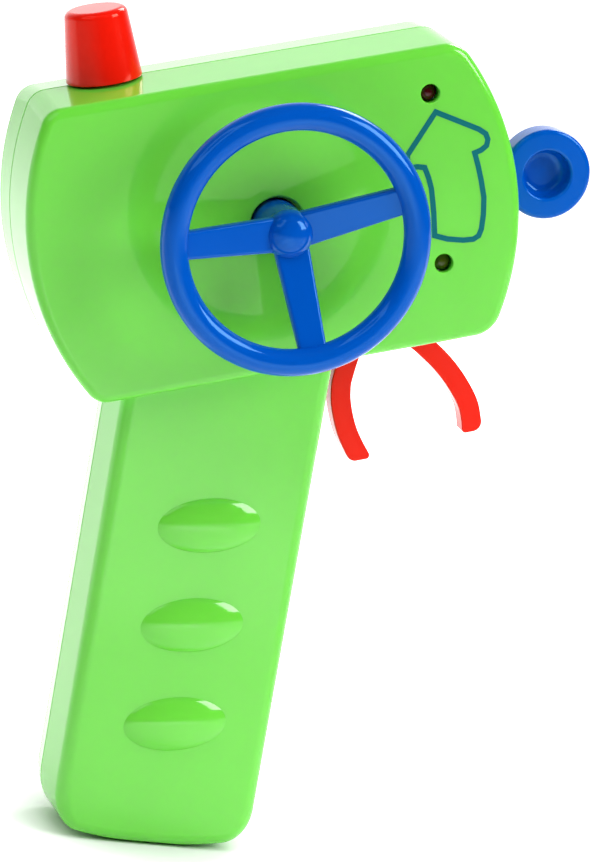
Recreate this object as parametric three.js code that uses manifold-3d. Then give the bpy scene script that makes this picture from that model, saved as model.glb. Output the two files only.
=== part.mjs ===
// Pistol-grip toy radio transmitter: a tilted control head with a steering wheel, a two-prong
// throttle trigger, a thumb lever and a stub aerial, on an upright grip that holds two cells.
// Millimetres. +Z runs up the grip, -Y faces the steering wheel, +X is the trigger side.
// Head features are drawn in head coordinates: the wheel axis is the origin and the head lies
// level. place() then tilts them and lifts them to the top of the grip.
import * as THREE from 'three';
import { mergeVertices } from 'three/addons/utils/BufferGeometryUtils.js';
import Module from 'manifold-3d';

const wasm = await Module();
wasm.setup();

const RAD = Math.PI / 180;

// ---------- driving dimensions ----------
const AXIS_X = 3.7;
const AXIS_Z = 162.4;
const TILT_DEG = 17;

const GAP = 0.3;
const WALL = 2.2;
const FITTING_ROOT = 0.5;
const SEAM_Y = 2;
const FRONT_EDGE_Y = SEAM_Y - GAP / 2;
const REAR_EDGE_Y = SEAM_Y + GAP / 2;

const HEAD_FRONT_Y = -20;
const HEAD_REAR_Y = 17;
const HEAD_HALF_HEIGHT = 37.2;
const HEAD_DRAFT = 0.85;
const HEAD_FRONT_FILLET = 2;
const HEAD_REAR_FILLET = 2.5;
const HEAD_LEFT_ARC = { cx: 8.3, cz: 2.2, r: 70.2, corner: 5.5 };
const HEAD_RIGHT_ARC = { cx: -7.7, cz: -0.3, r: 69.6, corner: 8 };

const GRIP_HALF_WIDTH = 26;
const GRIP_FRONT_Y = -15;
const GRIP_REAR_Y = 13.5;
const GRIP_DRAFT = 0.9;
const GRIP_FILLET = 3.5;
const GRIP_TOP_Z = 140;
const GRIP_FLAT_HALF = 5;
const GRIP_BELLY_RADIUS = 70;
const GRIP_BELLY_DEG = 12;
const GRIP_LEFT_CORNER = 12;
const GRIP_RIGHT_CORNER = 9.5;

const LIP_DEPTH = 1.6;
const LIP_THICK = 0.9;
const LIP_ROOM = 0.5;

const BUMP_COUNT = 3;
const BUMP_TOP_Z = 84.2;
const BUMP_PITCH = 25.9;
const BUMP_X = 1;
const BUMP_HALF = { x: 13.2, y: 3.1, z: 7.1 };
const BUMP_SINK = 0.4;
const BUMP_TILT_DEG = 9.3;

const WHEEL_REST_DEG = 1.8;
const RIM_RADIUS = 30.2;
const RIM_TUBE = 3.4;
const RIM_Y = HEAD_FRONT_Y - 18.4;
const SPOKE_RAISE_DEG = 8.7;
const SPOKE_THICK = 2.6;
const SPOKE_BEVEL = 0.6;
const SPOKE_HUB_WIDTH = 9;
const SPOKE_RIM_WIDTH = 6.7;
const HUB_Y = HEAD_FRONT_Y - 10.7;
const HUB_RADIUS = 6.1;
const COLUMN_RADIUS = 6;
const COLUMN_END_Y = -9.7;
const SPIGOT_RADIUS = 3;
const SPIGOT_END_Y = -5.5;
const FACE_HOLE_RADIUS = 6.95;
const COLLAR_RADIUS = 8.4;
const COLLAR_END_Y = -10;

const CRANK_RADIUS = 11;
const CRANK_FRONT_Y = COLLAR_END_Y + GAP;
const CRANK_REAR_Y = -6.2;
const CRANK_HUB_RADIUS = 6;
const CRANK_HUB_END_Y = 1.6;
const STEERING_SCREW = { tipY: -14, head: 2.9 };
const WIPER_THICK = 0.5;

const TRIGGER_PIVOT = [27, -24];
const TRIGGER_Y0 = -0.75;
const TRIGGER_Y1 = 4.75;
const TRIGGER_WIDTH = 5.25;
const TRIGGER_LINE = [
  [19.4, -71.8], [18.2, -68.7], [16.9, -65.3], [15.75, -61.6], [15.15, -58], [14.9, -54], [15.15, -50.6],
  [16.2, -46.6], [20.4, -38.6], [27.2, -34.4], [34.8, -39], [40.2, -45], [43.6, -50], [46.1, -55], [47.7, -59.6],
  [48.05, -63.7], [47.9, -67], [47.6, -70],
];
const TRIGGER_TIPS = { middleX: 32, leftZ: -69, rightZ: -67 };
const TRIGGER_SLOT = { x0: 13.5, x1: 42.5 };
const TRIGGER_FINGER = { half: 1.8, length: 12.5 };
const SWITCH_REACH = 3;
const SWITCH_RISE = 10;

const TURBO_PIVOT = [46, 0.8];
const TURBO_DISC = [73.2, -2.9];
const TURBO_DISC_RADIUS = 11.4;
const TURBO_RECESS_RADIUS = 6.1;
const TURBO_LIP = 0.75;
const TURBO_Y0 = -6;
const TURBO_Y1 = 0.9;
const TURBO_FLOOR_Y = -0.8;
const TURBO_ARM_HALF = 3.4;
const TURBO_TRAVEL_DEG = 14;

const PIN_RADIUS = 1.5;
const PIVOT_BORE = 1.8;
const PIVOT_HUB = 4.6;
const PIVOT_BOSS = 3.4;
const PIVOT_FLOOR = 2;

const AERIAL_X = -33.9;
const AERIAL_BASE_Z = HEAD_HALF_HEIGHT + HEAD_DRAFT + GAP;
const AERIAL_HEIGHT = 17.6;
const AERIAL_BASE_RADIUS = 9.4;
const AERIAL_TOP_RADIUS = 7.8;
const AERIAL_EDGE = 1.8;
const AERIAL_NECK_RADIUS = 5;
const AERIAL_FLANGE_RADIUS = 7;
const AERIAL_BORE_RADIUS = 3.8;

const LED_HOLE_RADIUS = 2.38;
const LED_RADIUS = 2.5;
const LED_RISE = 0.9;
const RED_LED = [41.8, 25.8];
const GREEN_LED = [40.5, -17];

const BOARD = { x0: -38, x1: 44.5, z0: -19.5, z1: 27, y0: 6, y1: 7.6 };
const BOARD_POSTS = [[-33, 20], [-33, -14]];
const BOARD_SCREW_TIP_Y = 13.2;
const BOARD_POST_RADIUS = 2.6;
const BOARD_PILOT_RADIUS = 1.3;
const BOARD_SCREW = { head: 2.2, shank: 1 };

const HEAD_BOSSES = [[-51, 8], [-42, -30], [14, 31.5], [49.5, -28]];
const GRIP_BOSSES = [[0, 7.4], [0, 96]];
const BOSS_RADIUS = 4.1;
const FRONT_BOSS_RADIUS = 3.5;
const SCREW_HEAD_RADIUS = 2.7;
const SCREW_SHANK_RADIUS = 1.3;
const SCREW_HEAD_HEIGHT = 1.8;
const COUNTERBORE_RADIUS = 3;
const SCREW_PILOT = SCREW_SHANK_RADIUS + GAP;
const HEAD_SEAT_Y = 7;
const GRIP_SEAT_Y = 5.5;
const HEAD_SCREW_TIP_Y = -9;
const GRIP_SCREW_TIP_Y = -8;

const BAY = { x: 17.2, y0: -9, z0: 13, z1: 72.5 };
const BAY_WALL = 1.5;
const DOOR = { x: 18.5, y0: 11.6, z0: 12.5, z1: 87.5 };
const DOOR_SCREW_Z = 81.5;
const DOOR_LEDGE_Y = 9.3;
const DOOR_BOSS_RADIUS = 4.4;
const DOOR_GROOVE = { count: 5, pitch: 3.2, width: 1.4, depth: 0.7, half: 9, first: 6 };

const WIRE_HOLE_RADIUS = 1.4;
const WIRE_RADIUS = 0.7;
const WIRE_DROP_Y = 4.4;

const CELL_X = 8.6;
const CELL_Y = -0.6;
const CELL_RADIUS = 7.25;
const CELL_BODY = 49.2;
const CELL_NUB = 1.3;
const CELL_NUB_RADIUS = 2.75;
const UPRIGHT_CELL_Z = 18;
const INVERTED_CELL_Z = 14.1;
const CONTACT_HALF = 6;
const CONTACT_THICK = 0.5;
const CONTACT_PLAY = 0.7;
const SPRING_WIRE = 0.4;

const CIRCLE_STEPS = 32;
const SMALL_STEPS = 14;
const ARC_STEPS = 4;
const SIDE_STEPS = 9;

// ---------- solids ----------
function solid(geometry) {
  const bare = new THREE.BufferGeometry();
  bare.setAttribute('position', geometry.attributes.position);
  if (geometry.index) bare.setIndex(geometry.index);
  const merged = mergeVertices(bare, 1e-4);
  return new wasm.Manifold(new wasm.Mesh({
    numProp: 3,
    vertProperties: new Float32Array(merged.attributes.position.array),
    triVerts: new Uint32Array(merged.index.array),
  }));
}

function union(...parts) {
  return parts.reduce((sum, part) => sum.add(part));
}

function cut(body, ...tools) {
  return tools.reduce((rest, tool) => rest.subtract(tool), body);
}

function cylinder(radius, y0, y1, at = [0, 0], steps = CIRCLE_STEPS) {
  return cone(radius, radius, y0, y1, at, steps);
}

// A cone along Y with one radius at y0 and another at y1.
function cone(r0, r1, y0, y1, at = [0, 0], steps = CIRCLE_STEPS) {
  const shape = new THREE.CylinderGeometry(r1, r0, y1 - y0, steps);
  return solid(shape.translate(at[0], (y0 + y1) / 2, at[1]));
}

function box(x0, x1, y0, y1, z0, z1) {
  const shape = new THREE.BoxGeometry(x1 - x0, y1 - y0, z1 - z0);
  return solid(shape.translate((x0 + x1) / 2, (y0 + y1) / 2, (z0 + z1) / 2));
}

// A flat plate drawn in X and Z and given thickness along Y.
function plate(points, y0, y1) {
  const shape = new THREE.Shape(points.map(([x, z]) => new THREE.Vector2(x, z)));
  const body = new THREE.ExtrudeGeometry(shape, { depth: y1 - y0, bevelEnabled: false });
  return solid(body.rotateX(Math.PI / 2).translate(0, y1, 0));
}

// A closed skin through convex rings that all have the same number of points.
function skin(rings) {
  const count = rings[0].length;
  const position = rings.flat(2);
  const index = [];
  for (let k = 0; k + 1 < rings.length; k += 1) {
    for (let i = 0; i < count; i += 1) {
      const a = k * count + i;
      const b = k * count + ((i + 1) % count);
      index.push(a, b, a + count, b, b + count, a + count);
    }
  }
  const last = (rings.length - 1) * count;
  for (let i = 1; i + 1 < count; i += 1) {
    index.push(0, i + 1, i);
    index.push(last, last + i, last + i + 1);
  }
  if (signedVolume(position, index) < 0) {
    for (let i = 0; i < index.length; i += 3) {
      [index[i + 1], index[i + 2]] = [index[i + 2], index[i + 1]];
    }
  }
  const shape = new THREE.BufferGeometry();
  shape.setAttribute('position', new THREE.Float32BufferAttribute(position, 3));
  shape.setIndex(index);
  return solid(shape);
}

function signedVolume(position, index) {
  const corner = (i) => new THREE.Vector3().fromArray(position, 3 * i);
  let total = 0;
  for (let i = 0; i < index.length; i += 3) {
    const [a, b, c] = [corner(index[i]), corner(index[i + 1]), corner(index[i + 2])];
    total += a.dot(b.cross(c));
  }
  return total / 6;
}

// A wire of round section along a smooth line through the given points.
function wire(points, radius, steps, sides = 6) {
  const path = new THREE.CatmullRomCurve3(points.map((p) => new THREE.Vector3(...p)));
  return sweep(path, radius, steps, sides);
}

function sweep(path, radius, steps, sides = 6) {
  const section = new THREE.Shape();
  section.absarc(0, 0, radius, 0, 2 * Math.PI);
  const body = new THREE.ExtrudeGeometry(section, {
    steps, curveSegments: sides / 2, extrudePath: path, bevelEnabled: false,
  });
  return solid(body);
}

class Helix extends THREE.Curve {
  constructor({ radius, endRadius = radius, from, to, turns, start = 0, lead = 0, tail = 0 }) {
    super();
    Object.assign(this, { radius, endRadius, from, to, turns, start, lead, tail });
  }

  // Straight tangent legs of length lead and tail run off the two ends of the coil.
  getPoint(t, target = new THREE.Vector3()) {
    const coilLength = 2 * Math.PI * this.radius * this.turns;
    const total = this.lead + coilLength + this.tail;
    const along = t * total - this.lead;
    const u = Math.min(Math.max(along / coilLength, 0), 1);
    const angle = this.start + u * this.turns * 2 * Math.PI;
    const radius = this.radius + (this.endRadius - this.radius) * u;
    const extra = along < 0 ? along : Math.max(along - coilLength, 0);
    return target.set(
      radius * Math.cos(angle) - extra * Math.sin(angle),
      this.from + (this.to - this.from) * u,
      radius * Math.sin(angle) + extra * Math.cos(angle),
    );
  }
}

function coil(options, wireRadius, stepsPerTurn = 12) {
  const legSteps = (options.lead || options.tail) ? 8 : 0;
  return sweep(new Helix(options), wireRadius, Math.round(options.turns * stepsPerTurn) + legSteps);
}

// ---------- placing ----------
function moved(body, x, y, z) {
  return body.translate([x, y, z]);
}

function place(body) {
  return body.rotate([0, -TILT_DEG, 0]).translate([AXIS_X, 0, AXIS_Z]);
}

function turned(body, degrees, pivot = [0, 0]) {
  return body.translate([-pivot[0], 0, -pivot[1]]).rotate([0, -degrees, 0])
    .translate([pivot[0], 0, pivot[1]]);
}

// Turns a body made along Y so that it stands along Z, with its +Y end up.
function upright(body) {
  return body.rotate([90, 0, 0]);
}

// Head coordinates to grip coordinates, for the pieces that run from one to the other.
function headPoint(x, y, z) {
  const c = Math.cos(TILT_DEG * RAD);
  const s = Math.sin(TILT_DEG * RAD);
  return [AXIS_X + x * c - z * s, y, AXIS_Z + x * s + z * c];
}

// ---------- outlines ----------
function arcPoints(cx, cz, r, from, to, steps) {
  const points = [];
  for (let i = 0; i <= steps; i += 1) {
    const a = from + ((to - from) * i) / steps;
    points.push([cx + r * Math.cos(a), cz + r * Math.sin(a)]);
  }
  return points;
}

// Corner circle that touches a level edge at height z and a side arc from inside.
function cornerCentre(arc, z, grow) {
  const up = Math.sign(z);
  const reach = Math.abs(z) + grow;
  const cz = up * (reach - arc.corner - grow);
  const side = -Math.sign(arc.cx);
  const cx = arc.cx + side * Math.sqrt((arc.r - arc.corner) ** 2 - (cz - arc.cz) ** 2);
  return [cx, cz, Math.atan2(cz - arc.cz, cx - arc.cx)];
}

// Barrel-shaped head outline: level top and bottom, bowed sides, rounded corners.
// grow moves the whole outline outwards and lift moves only the top and bottom edges.
function headOutline(grow, lift) {
  const H = HEAD_HALF_HEIGHT + lift;
  const right = HEAD_RIGHT_ARC;
  const left = HEAD_LEFT_ARC;
  const [rbx, rbz, rb] = cornerCentre(right, -H, grow);
  const [rtx, rtz, rt] = cornerCentre(right, H, grow);
  const [ltx, ltz, lt] = cornerCentre(left, H, grow);
  const [lbx, lbz, lb] = cornerCentre(left, -H, grow);
  const rr = right.corner + grow;
  const lr = left.corner + grow;
  const full = 2 * Math.PI;
  const wrapped = (a) => (a < 0 ? a + full : a);
  const quarter = Math.PI / 2;
  const inner = (points) => points.slice(1, -1);
  return [
    ...arcPoints(rbx, rbz, rr, -quarter, rb, ARC_STEPS),
    ...inner(arcPoints(right.cx, right.cz, right.r + grow, rb, rt, SIDE_STEPS)),
    ...arcPoints(rtx, rtz, rr, rt, quarter, ARC_STEPS),
    ...arcPoints(ltx, ltz, lr, quarter, lt, ARC_STEPS),
    ...inner(arcPoints(left.cx, left.cz, left.r + grow, lt, wrapped(lb), SIDE_STEPS)),
    ...arcPoints(lbx, lbz, lr, wrapped(lb), 1.5 * Math.PI, ARC_STEPS),
  ];
}

// Grip outline: parallel sides, a slightly bellied base with a small flat, two base corners.
// The side walls grow by side and the base by base.
function gripOutline(side, base) {
  const x = GRIP_HALF_WIDTH + side;
  const belly = GRIP_BELLY_RADIUS;
  const bellyAngle = GRIP_BELLY_DEG * RAD;
  const rise = belly * (1 - Math.cos(bellyAngle)) - base;
  const run = GRIP_FLAT_HALF + belly * Math.sin(bellyAngle);
  const points = [[-GRIP_FLAT_HALF, -base], [GRIP_FLAT_HALF, -base]];
  const bellySteps = 3;
  for (let i = 1; i <= bellySteps; i += 1) {
    const a = (bellyAngle * i) / bellySteps;
    points.push([GRIP_FLAT_HALF + belly * Math.sin(a), belly * (1 - Math.cos(a)) - base]);
  }
  const cornerSteps = 5;
  const sweepAngle = Math.PI / 2 - bellyAngle;
  const round = (radius, sign) => {
    const width = x - run;
    const arc = [];
    const spanX = 1 - Math.sin(bellyAngle);
    const spanZ = Math.cos(bellyAngle);
    for (let i = 1; i <= cornerSteps; i += 1) {
      const a = bellyAngle + (sweepAngle * i) / cornerSteps;
      const u = (Math.sin(a) - Math.sin(bellyAngle)) / spanX;
      const v = (Math.cos(bellyAngle) - Math.cos(a)) / spanZ;
      arc.push([sign * (run + width * u), rise + radius * v]);
    }
    return arc;
  };
  points.push(...round(GRIP_RIGHT_CORNER, 1));
  points.push([x, GRIP_TOP_Z], [-x, GRIP_TOP_Z]);
  points.push(...round(GRIP_LEFT_CORNER, -1).reverse());
  for (let i = bellySteps; i >= 1; i -= 1) {
    const a = (bellyAngle * i) / bellySteps;
    points.push([-GRIP_FLAT_HALF - belly * Math.sin(a), belly * (1 - Math.cos(a)) - base]);
  }
  return points;
}

// Depth stations of a half shell: a rounded edge at the face, then a drafted side wall that
// is widest at the seam. inset moves every station inwards, for the hollow inside.
function stations(faceY, edgeY, fillet, draft, inset) {
  const out = Math.sign(faceY - edgeY);
  const face = faceY - out * inset;
  const radius = Math.max(fillet - inset, 0.4);
  const list = [];
  const steps = inset > 0 ? 2 : ARC_STEPS;
  for (let i = 0; i <= steps; i += 1) {
    const a = (i / steps) * (Math.PI / 2);
    const y = face - out * radius * (1 - Math.cos(a));
    list.push([y, -inset - radius * (1 - Math.sin(a)), 0]);
  }
  list.push([edgeY, -inset, draft]);
  if (inset > 0) list.push([edgeY - out * 3, -inset, draft]);
  return list;
}

function headHalf(faceY, edgeY, fillet, inset = 0) {
  const rings = stations(faceY, edgeY, fillet, HEAD_DRAFT, inset)
    .map(([y, grow, lift]) => headOutline(grow, lift).map(([x, z]) => [x, y, z]));
  return place(skin(rings));
}

function gripHalf(faceY, edgeY, inset = 0) {
  const rings = stations(faceY, edgeY, GRIP_FILLET, GRIP_DRAFT, inset)
    .map(([y, grow, lift]) => gripOutline(grow + lift, Math.min(grow, -inset))
      .map(([x, z]) => [x, y, z]));
  return skin(rings);
}

// Tongue inside the seam, fixed to the front shell and reaching into the rear one.
function seamLip() {
  const ring = (outline, levels) => skin(levels.map(([y, grow]) => outline(grow)
    .map(([x, z]) => [x, y, z])));
  const levels = () => {
    const root = 0.5 - WALL;
    const tongue = -WALL - GAP;
    return [
      [-1, root], [FRONT_EDGE_Y, root], [FRONT_EDGE_Y + 0.01, tongue],
      [FRONT_EDGE_Y + LIP_DEPTH, tongue],
    ];
  };
  const hollow = () => {
    const inside = -WALL - GAP - LIP_THICK;
    return [[-2, inside], [FRONT_EDGE_Y + LIP_DEPTH + 1, inside]];
  };
  const taper = 0.8;
  const headRing = (grow) => headOutline(grow, HEAD_DRAFT * taper);
  const gripRing = (grow) => gripOutline(grow + GRIP_DRAFT * taper, grow);
  const outer = union(
    place(ring(headRing, levels())), ring(gripRing, levels()),
  );
  const inner = union(
    place(ring(headRing, hollow())), ring(gripRing, hollow()),
  );
  return outer.subtract(inner);
}

// ---------- shells ----------
function triggerSlot() {
  const depth = 6;
  return place(box(
    TRIGGER_SLOT.x0, TRIGGER_SLOT.x1, TRIGGER_Y0 - 0.6, TRIGGER_Y1 + 0.6,
    -HEAD_HALF_HEIGHT - depth, -HEAD_HALF_HEIGHT + depth,
  ));
}

function turboNotch() {
  const reach = 8;
  const wallX = HEAD_RIGHT_ARC.cx + HEAD_RIGHT_ARC.r;
  return place(box(
    wallX - reach, wallX + reach, TURBO_Y0 - 0.3, FRONT_EDGE_Y + 1,
    TURBO_PIVOT[1] - 7.3, TURBO_PIVOT[1] + 7.3,
  ));
}

function aerialNeckHole() {
  const neck = cylinder(AERIAL_NECK_RADIUS + GAP, 0, 10);
  return place(moved(upright(neck), AERIAL_X, SEAM_Y, HEAD_HALF_HEIGHT - 6));
}

// Front bosses take the screw threads, rear bosses hold the screw heads in deep counterbores.
function frontBoss(at, wallY) {
  const tube = cylinder(FRONT_BOSS_RADIUS, wallY, FRONT_EDGE_Y - 1, at);
  return tube.subtract(cylinder(SCREW_PILOT, wallY + 2, SEAM_Y, at));
}

function rearBoss(at, wallY) {
  return cylinder(BOSS_RADIUS, REAR_EDGE_Y, wallY + 1, at);
}

function rearBossHole(at, faceY, seatY) {
  return union(
    cylinder(COUNTERBORE_RADIUS, seatY, faceY + 1, at),
    cylinder(SCREW_PILOT, REAR_EDGE_Y - 1, seatY + 1, at),
  );
}

function gripBumps() {
  const bumps = [];
  for (let i = 0; i < BUMP_COUNT; i += 1) {
    const dome = new THREE.SphereGeometry(1, 28, 18)
      .scale(BUMP_HALF.x, BUMP_HALF.y, BUMP_HALF.z)
      .rotateY(-BUMP_TILT_DEG * RAD)
      .translate(BUMP_X, GRIP_FRONT_Y + BUMP_SINK, BUMP_TOP_Z - i * BUMP_PITCH);
    bumps.push(solid(dome));
  }
  return union(...bumps);
}

// Room in the seam's tongue for the trigger, the rear bosses, the aerial and the battery bay.
function lipCuts() {
  const y0 = FRONT_EDGE_Y - 1.2;
  const y1 = FRONT_EDGE_Y + 6;
  const triggerRoom = 3;
  const aerialRoom = cylinder(AERIAL_FLANGE_RADIUS + 2 * GAP, 0, 8);
  const bayX = DOOR.x + BAY_WALL + 2 * GAP;
  const lowestZ = 6;
  return [
    place(box(
      TRIGGER_SLOT.x0 - triggerRoom, TRIGGER_SLOT.x1 + triggerRoom, -3, y1, -HEAD_HALF_HEIGHT, -28,
    )),
    ...HEAD_BOSSES.map((at) => place(cylinder(BOSS_RADIUS + LIP_ROOM, y0, y1, at))),
    ...GRIP_BOSSES.map((at) => cylinder(BOSS_RADIUS + LIP_ROOM, y0, y1, at)),
    place(moved(upright(aerialRoom), AERIAL_X, SEAM_Y, HEAD_HALF_HEIGHT - 7)),
    box(-bayX, bayX, -2, y1, lowestZ, DOOR.z1 + BAY_WALL + 4),
  ];
}

function frontShell() {
  const skinOuter = union(
    headHalf(HEAD_FRONT_Y, FRONT_EDGE_Y, HEAD_FRONT_FILLET),
    gripHalf(GRIP_FRONT_Y, FRONT_EDGE_Y),
    gripBumps(),
  );
  const hollow = union(
    headHalf(HEAD_FRONT_Y, FRONT_EDGE_Y, HEAD_FRONT_FILLET, WALL),
    gripHalf(GRIP_FRONT_Y, FRONT_EDGE_Y, WALL),
  );
  const headWallY = HEAD_FRONT_Y + WALL - FITTING_ROOT;
  const gripWallY = GRIP_FRONT_Y + WALL - FITTING_ROOT;
  const fittings = [place(cylinder(COLLAR_RADIUS, headWallY, COLLAR_END_Y))];
  HEAD_BOSSES.forEach((at) => fittings.push(place(frontBoss(at, headWallY))));
  GRIP_BOSSES.forEach((at) => fittings.push(frontBoss(at, gripWallY)));
  fittings.push(place(cylinder(PIVOT_BOSS, headWallY, TRIGGER_Y0 - GAP, TRIGGER_PIVOT)));
  fittings.push(place(cylinder(PIVOT_BOSS, headWallY, TURBO_Y0 - GAP, TURBO_PIVOT)));
  const lip = cut(seamLip(), ...lipCuts());
  return cut(
    union(skinOuter.subtract(hollow), lip, ...fittings),
    place(cylinder(FACE_HOLE_RADIUS, HEAD_FRONT_Y - 1, HEAD_FRONT_Y + WALL)),
    place(cylinder(COLUMN_RADIUS + GAP, HEAD_FRONT_Y, COLLAR_END_Y + 1)),
    place(cylinder(LED_HOLE_RADIUS, HEAD_FRONT_Y - 1, headWallY + 1, RED_LED, 24)),
    place(cylinder(LED_HOLE_RADIUS, HEAD_FRONT_Y - 1, headWallY + 1, GREEN_LED, 24)),
    place(cylinder(PIVOT_BORE, headWallY + PIVOT_FLOOR, SEAM_Y, TRIGGER_PIVOT, SMALL_STEPS)),
    place(cylinder(PIVOT_BORE, headWallY + PIVOT_FLOOR, SEAM_Y, TURBO_PIVOT, SMALL_STEPS)),
    triggerSlot(), turboNotch(), aerialNeckHole(),
  );
}

// Open-backed box for the cells, with a raised shelf above it under the door's screw.
function batteryBay() {
  const outer = box(
    -BAY.x - BAY_WALL, BAY.x + BAY_WALL, BAY.y0 - BAY_WALL, DOOR.y0 + 0.4,
    BAY.z0 - BAY_WALL, BAY.z1 + BAY_WALL,
  );
  const rim = box(
    -DOOR.x - BAY_WALL, DOOR.x + BAY_WALL, DOOR_LEDGE_Y - 2, DOOR.y0 + 0.4,
    DOOR.z0 - BAY_WALL, DOOR.z1 + BAY_WALL,
  );
  const screwPost = cylinder(FRONT_BOSS_RADIUS, 0, DOOR_LEDGE_Y - 1, [0, DOOR_SCREW_Z]);
  return union(outer, rim, screwPost);
}

function batteryBayHollow() {
  const cells = box(-BAY.x, BAY.x, BAY.y0, GRIP_REAR_Y, BAY.z0, BAY.z1);
  const doorSeat = box(
    -DOOR.x - GAP, DOOR.x + GAP, DOOR.y0 - GAP, GRIP_REAR_Y + 1, DOOR.z0 - GAP, DOOR.z1 + GAP,
  );
  const screwWell = cylinder(DOOR_BOSS_RADIUS + 2 * GAP, DOOR_LEDGE_Y, GRIP_REAR_Y, [0, DOOR_SCREW_Z]);
  const screwHole = cylinder(SCREW_PILOT, 1.5, DOOR.y0, [0, DOOR_SCREW_Z], SMALL_STEPS);
  const wireHoles = [-CELL_X, CELL_X].map((x) => moved(
    upright(cylinder(WIRE_HOLE_RADIUS, -2, 4, [0, 0], SMALL_STEPS)), x, CELL_Y - WIRE_DROP_Y, BAY.z1,
  ));
  return union(cells, doorSeat, screwWell, screwHole, ...wireHoles);
}

function rearShell() {
  const skinOuter = union(
    headHalf(HEAD_REAR_Y, REAR_EDGE_Y, HEAD_REAR_FILLET),
    gripHalf(GRIP_REAR_Y, REAR_EDGE_Y),
  );
  const hollow = union(
    headHalf(HEAD_REAR_Y, REAR_EDGE_Y, HEAD_REAR_FILLET, WALL),
    gripHalf(GRIP_REAR_Y, REAR_EDGE_Y, WALL),
  );
  const headWallY = HEAD_REAR_Y - WALL;
  const fittings = [batteryBay()];
  HEAD_BOSSES.forEach((at) => fittings.push(place(rearBoss(at, headWallY))));
  GRIP_BOSSES.forEach((at) => fittings.push(rearBoss(at, GRIP_REAR_Y - WALL)));
  fittings.push(place(cylinder(PIVOT_BOSS, TRIGGER_Y1 + GAP, headWallY + 1, TRIGGER_PIVOT)));
  fittings.push(place(cylinder(PIVOT_BOSS, TURBO_Y1 + GAP, headWallY + 1, TURBO_PIVOT)));
  BOARD_POSTS.forEach((at) => {
    const post = cylinder(BOARD_POST_RADIUS, BOARD.y1 + GAP, headWallY + 1, at, SMALL_STEPS);
    fittings.push(place(post));
  });
  return cut(
    union(skinOuter.subtract(hollow), ...fittings),
    batteryBayHollow(),
    ...HEAD_BOSSES.map((at) => place(rearBossHole(at, HEAD_REAR_Y, HEAD_SEAT_Y))),
    ...GRIP_BOSSES.map((at) => rearBossHole(at, GRIP_REAR_Y, GRIP_SEAT_Y)),
    ...BOARD_POSTS.map((at) => place(
      cylinder(BOARD_PILOT_RADIUS, BOARD.y1, headWallY, at, SMALL_STEPS),
    )),
    place(cylinder(PIVOT_BORE, 0, headWallY - PIVOT_FLOOR, TRIGGER_PIVOT, SMALL_STEPS)),
    place(cylinder(PIVOT_BORE, 0, headWallY - PIVOT_FLOOR, TURBO_PIVOT, SMALL_STEPS)),
    triggerSlot(), aerialNeckHole(),
  );
}

// ---------- fasteners ----------
function screw(at, seatY, tipY, headRadius = SCREW_HEAD_RADIUS, shank = SCREW_SHANK_RADIUS) {
  const headY = seatY + GAP;
  const topY = headY + SCREW_HEAD_HEIGHT;
  const head = union(
    cylinder(headRadius, headY, topY - 0.6, at, SMALL_STEPS),
    cone(headRadius, headRadius - 0.6, topY - 0.6, topY, at, SMALL_STEPS),
  );
  const slotHalf = 0.4;
  const slotDeep = topY - 0.9;
  const blade = headRadius - 1;
  const cross = union(
    box(at[0] - blade, at[0] + blade, slotDeep, topY + 1, at[1] - slotHalf, at[1] + slotHalf),
    box(at[0] - slotHalf, at[0] + slotHalf, slotDeep, topY + 1, at[1] - blade, at[1] + blade),
  );
  const point = 1.4;
  return cut(union(
    head,
    cylinder(shank, tipY + point, headY + 0.2, at, SMALL_STEPS),
    cone(0.3, shank, tipY, tipY + point, at, SMALL_STEPS),
  ), cross);
}

// ---------- steering ----------
function spoke(angleDeg) {
  const half = SPOKE_THICK / 2;
  const ring = (r, width, y) => {
    const w = width / 2;
    const b = SPOKE_BEVEL;
    return [
      [r, y + half, -w], [r, y + half, w], [r, y - half + b, w],
      [r, y - half, w - b], [r, y - half, b - w], [r, y - half + b, -w],
    ];
  };
  const beam = skin([
    ring(0, SPOKE_HUB_WIDTH, HUB_Y + 0.6),
    ring(RIM_RADIUS, SPOKE_RIM_WIDTH, RIM_Y),
  ]);
  return turned(beam, angleDeg);
}

function steeringWheel() {
  const rim = new THREE.TorusGeometry(RIM_RADIUS, RIM_TUBE, 14, 60).rotateX(Math.PI / 2);
  const dome = new THREE.SphereGeometry(HUB_RADIUS, 24, 14).translate(0, HUB_Y, 0);
  const down = -90;
  const side = 90 + SPOKE_RAISE_DEG;
  const wheel = union(
    solid(rim.translate(0, RIM_Y, 0)),
    solid(dome),
    spoke(down), spoke(down + side), spoke(down - side),
    cylinder(COLUMN_RADIUS, HUB_Y, COLUMN_END_Y),
    cylinder(SPIGOT_RADIUS, COLUMN_END_Y - 1, SPIGOT_END_Y),
  );
  const thread = cylinder(SCREW_PILOT, STEERING_SCREW.tipY - 2, SPIGOT_END_Y + 1, [0, 0], SMALL_STEPS);
  return place(turned(wheel.subtract(thread), WHEEL_REST_DEG));
}

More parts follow.
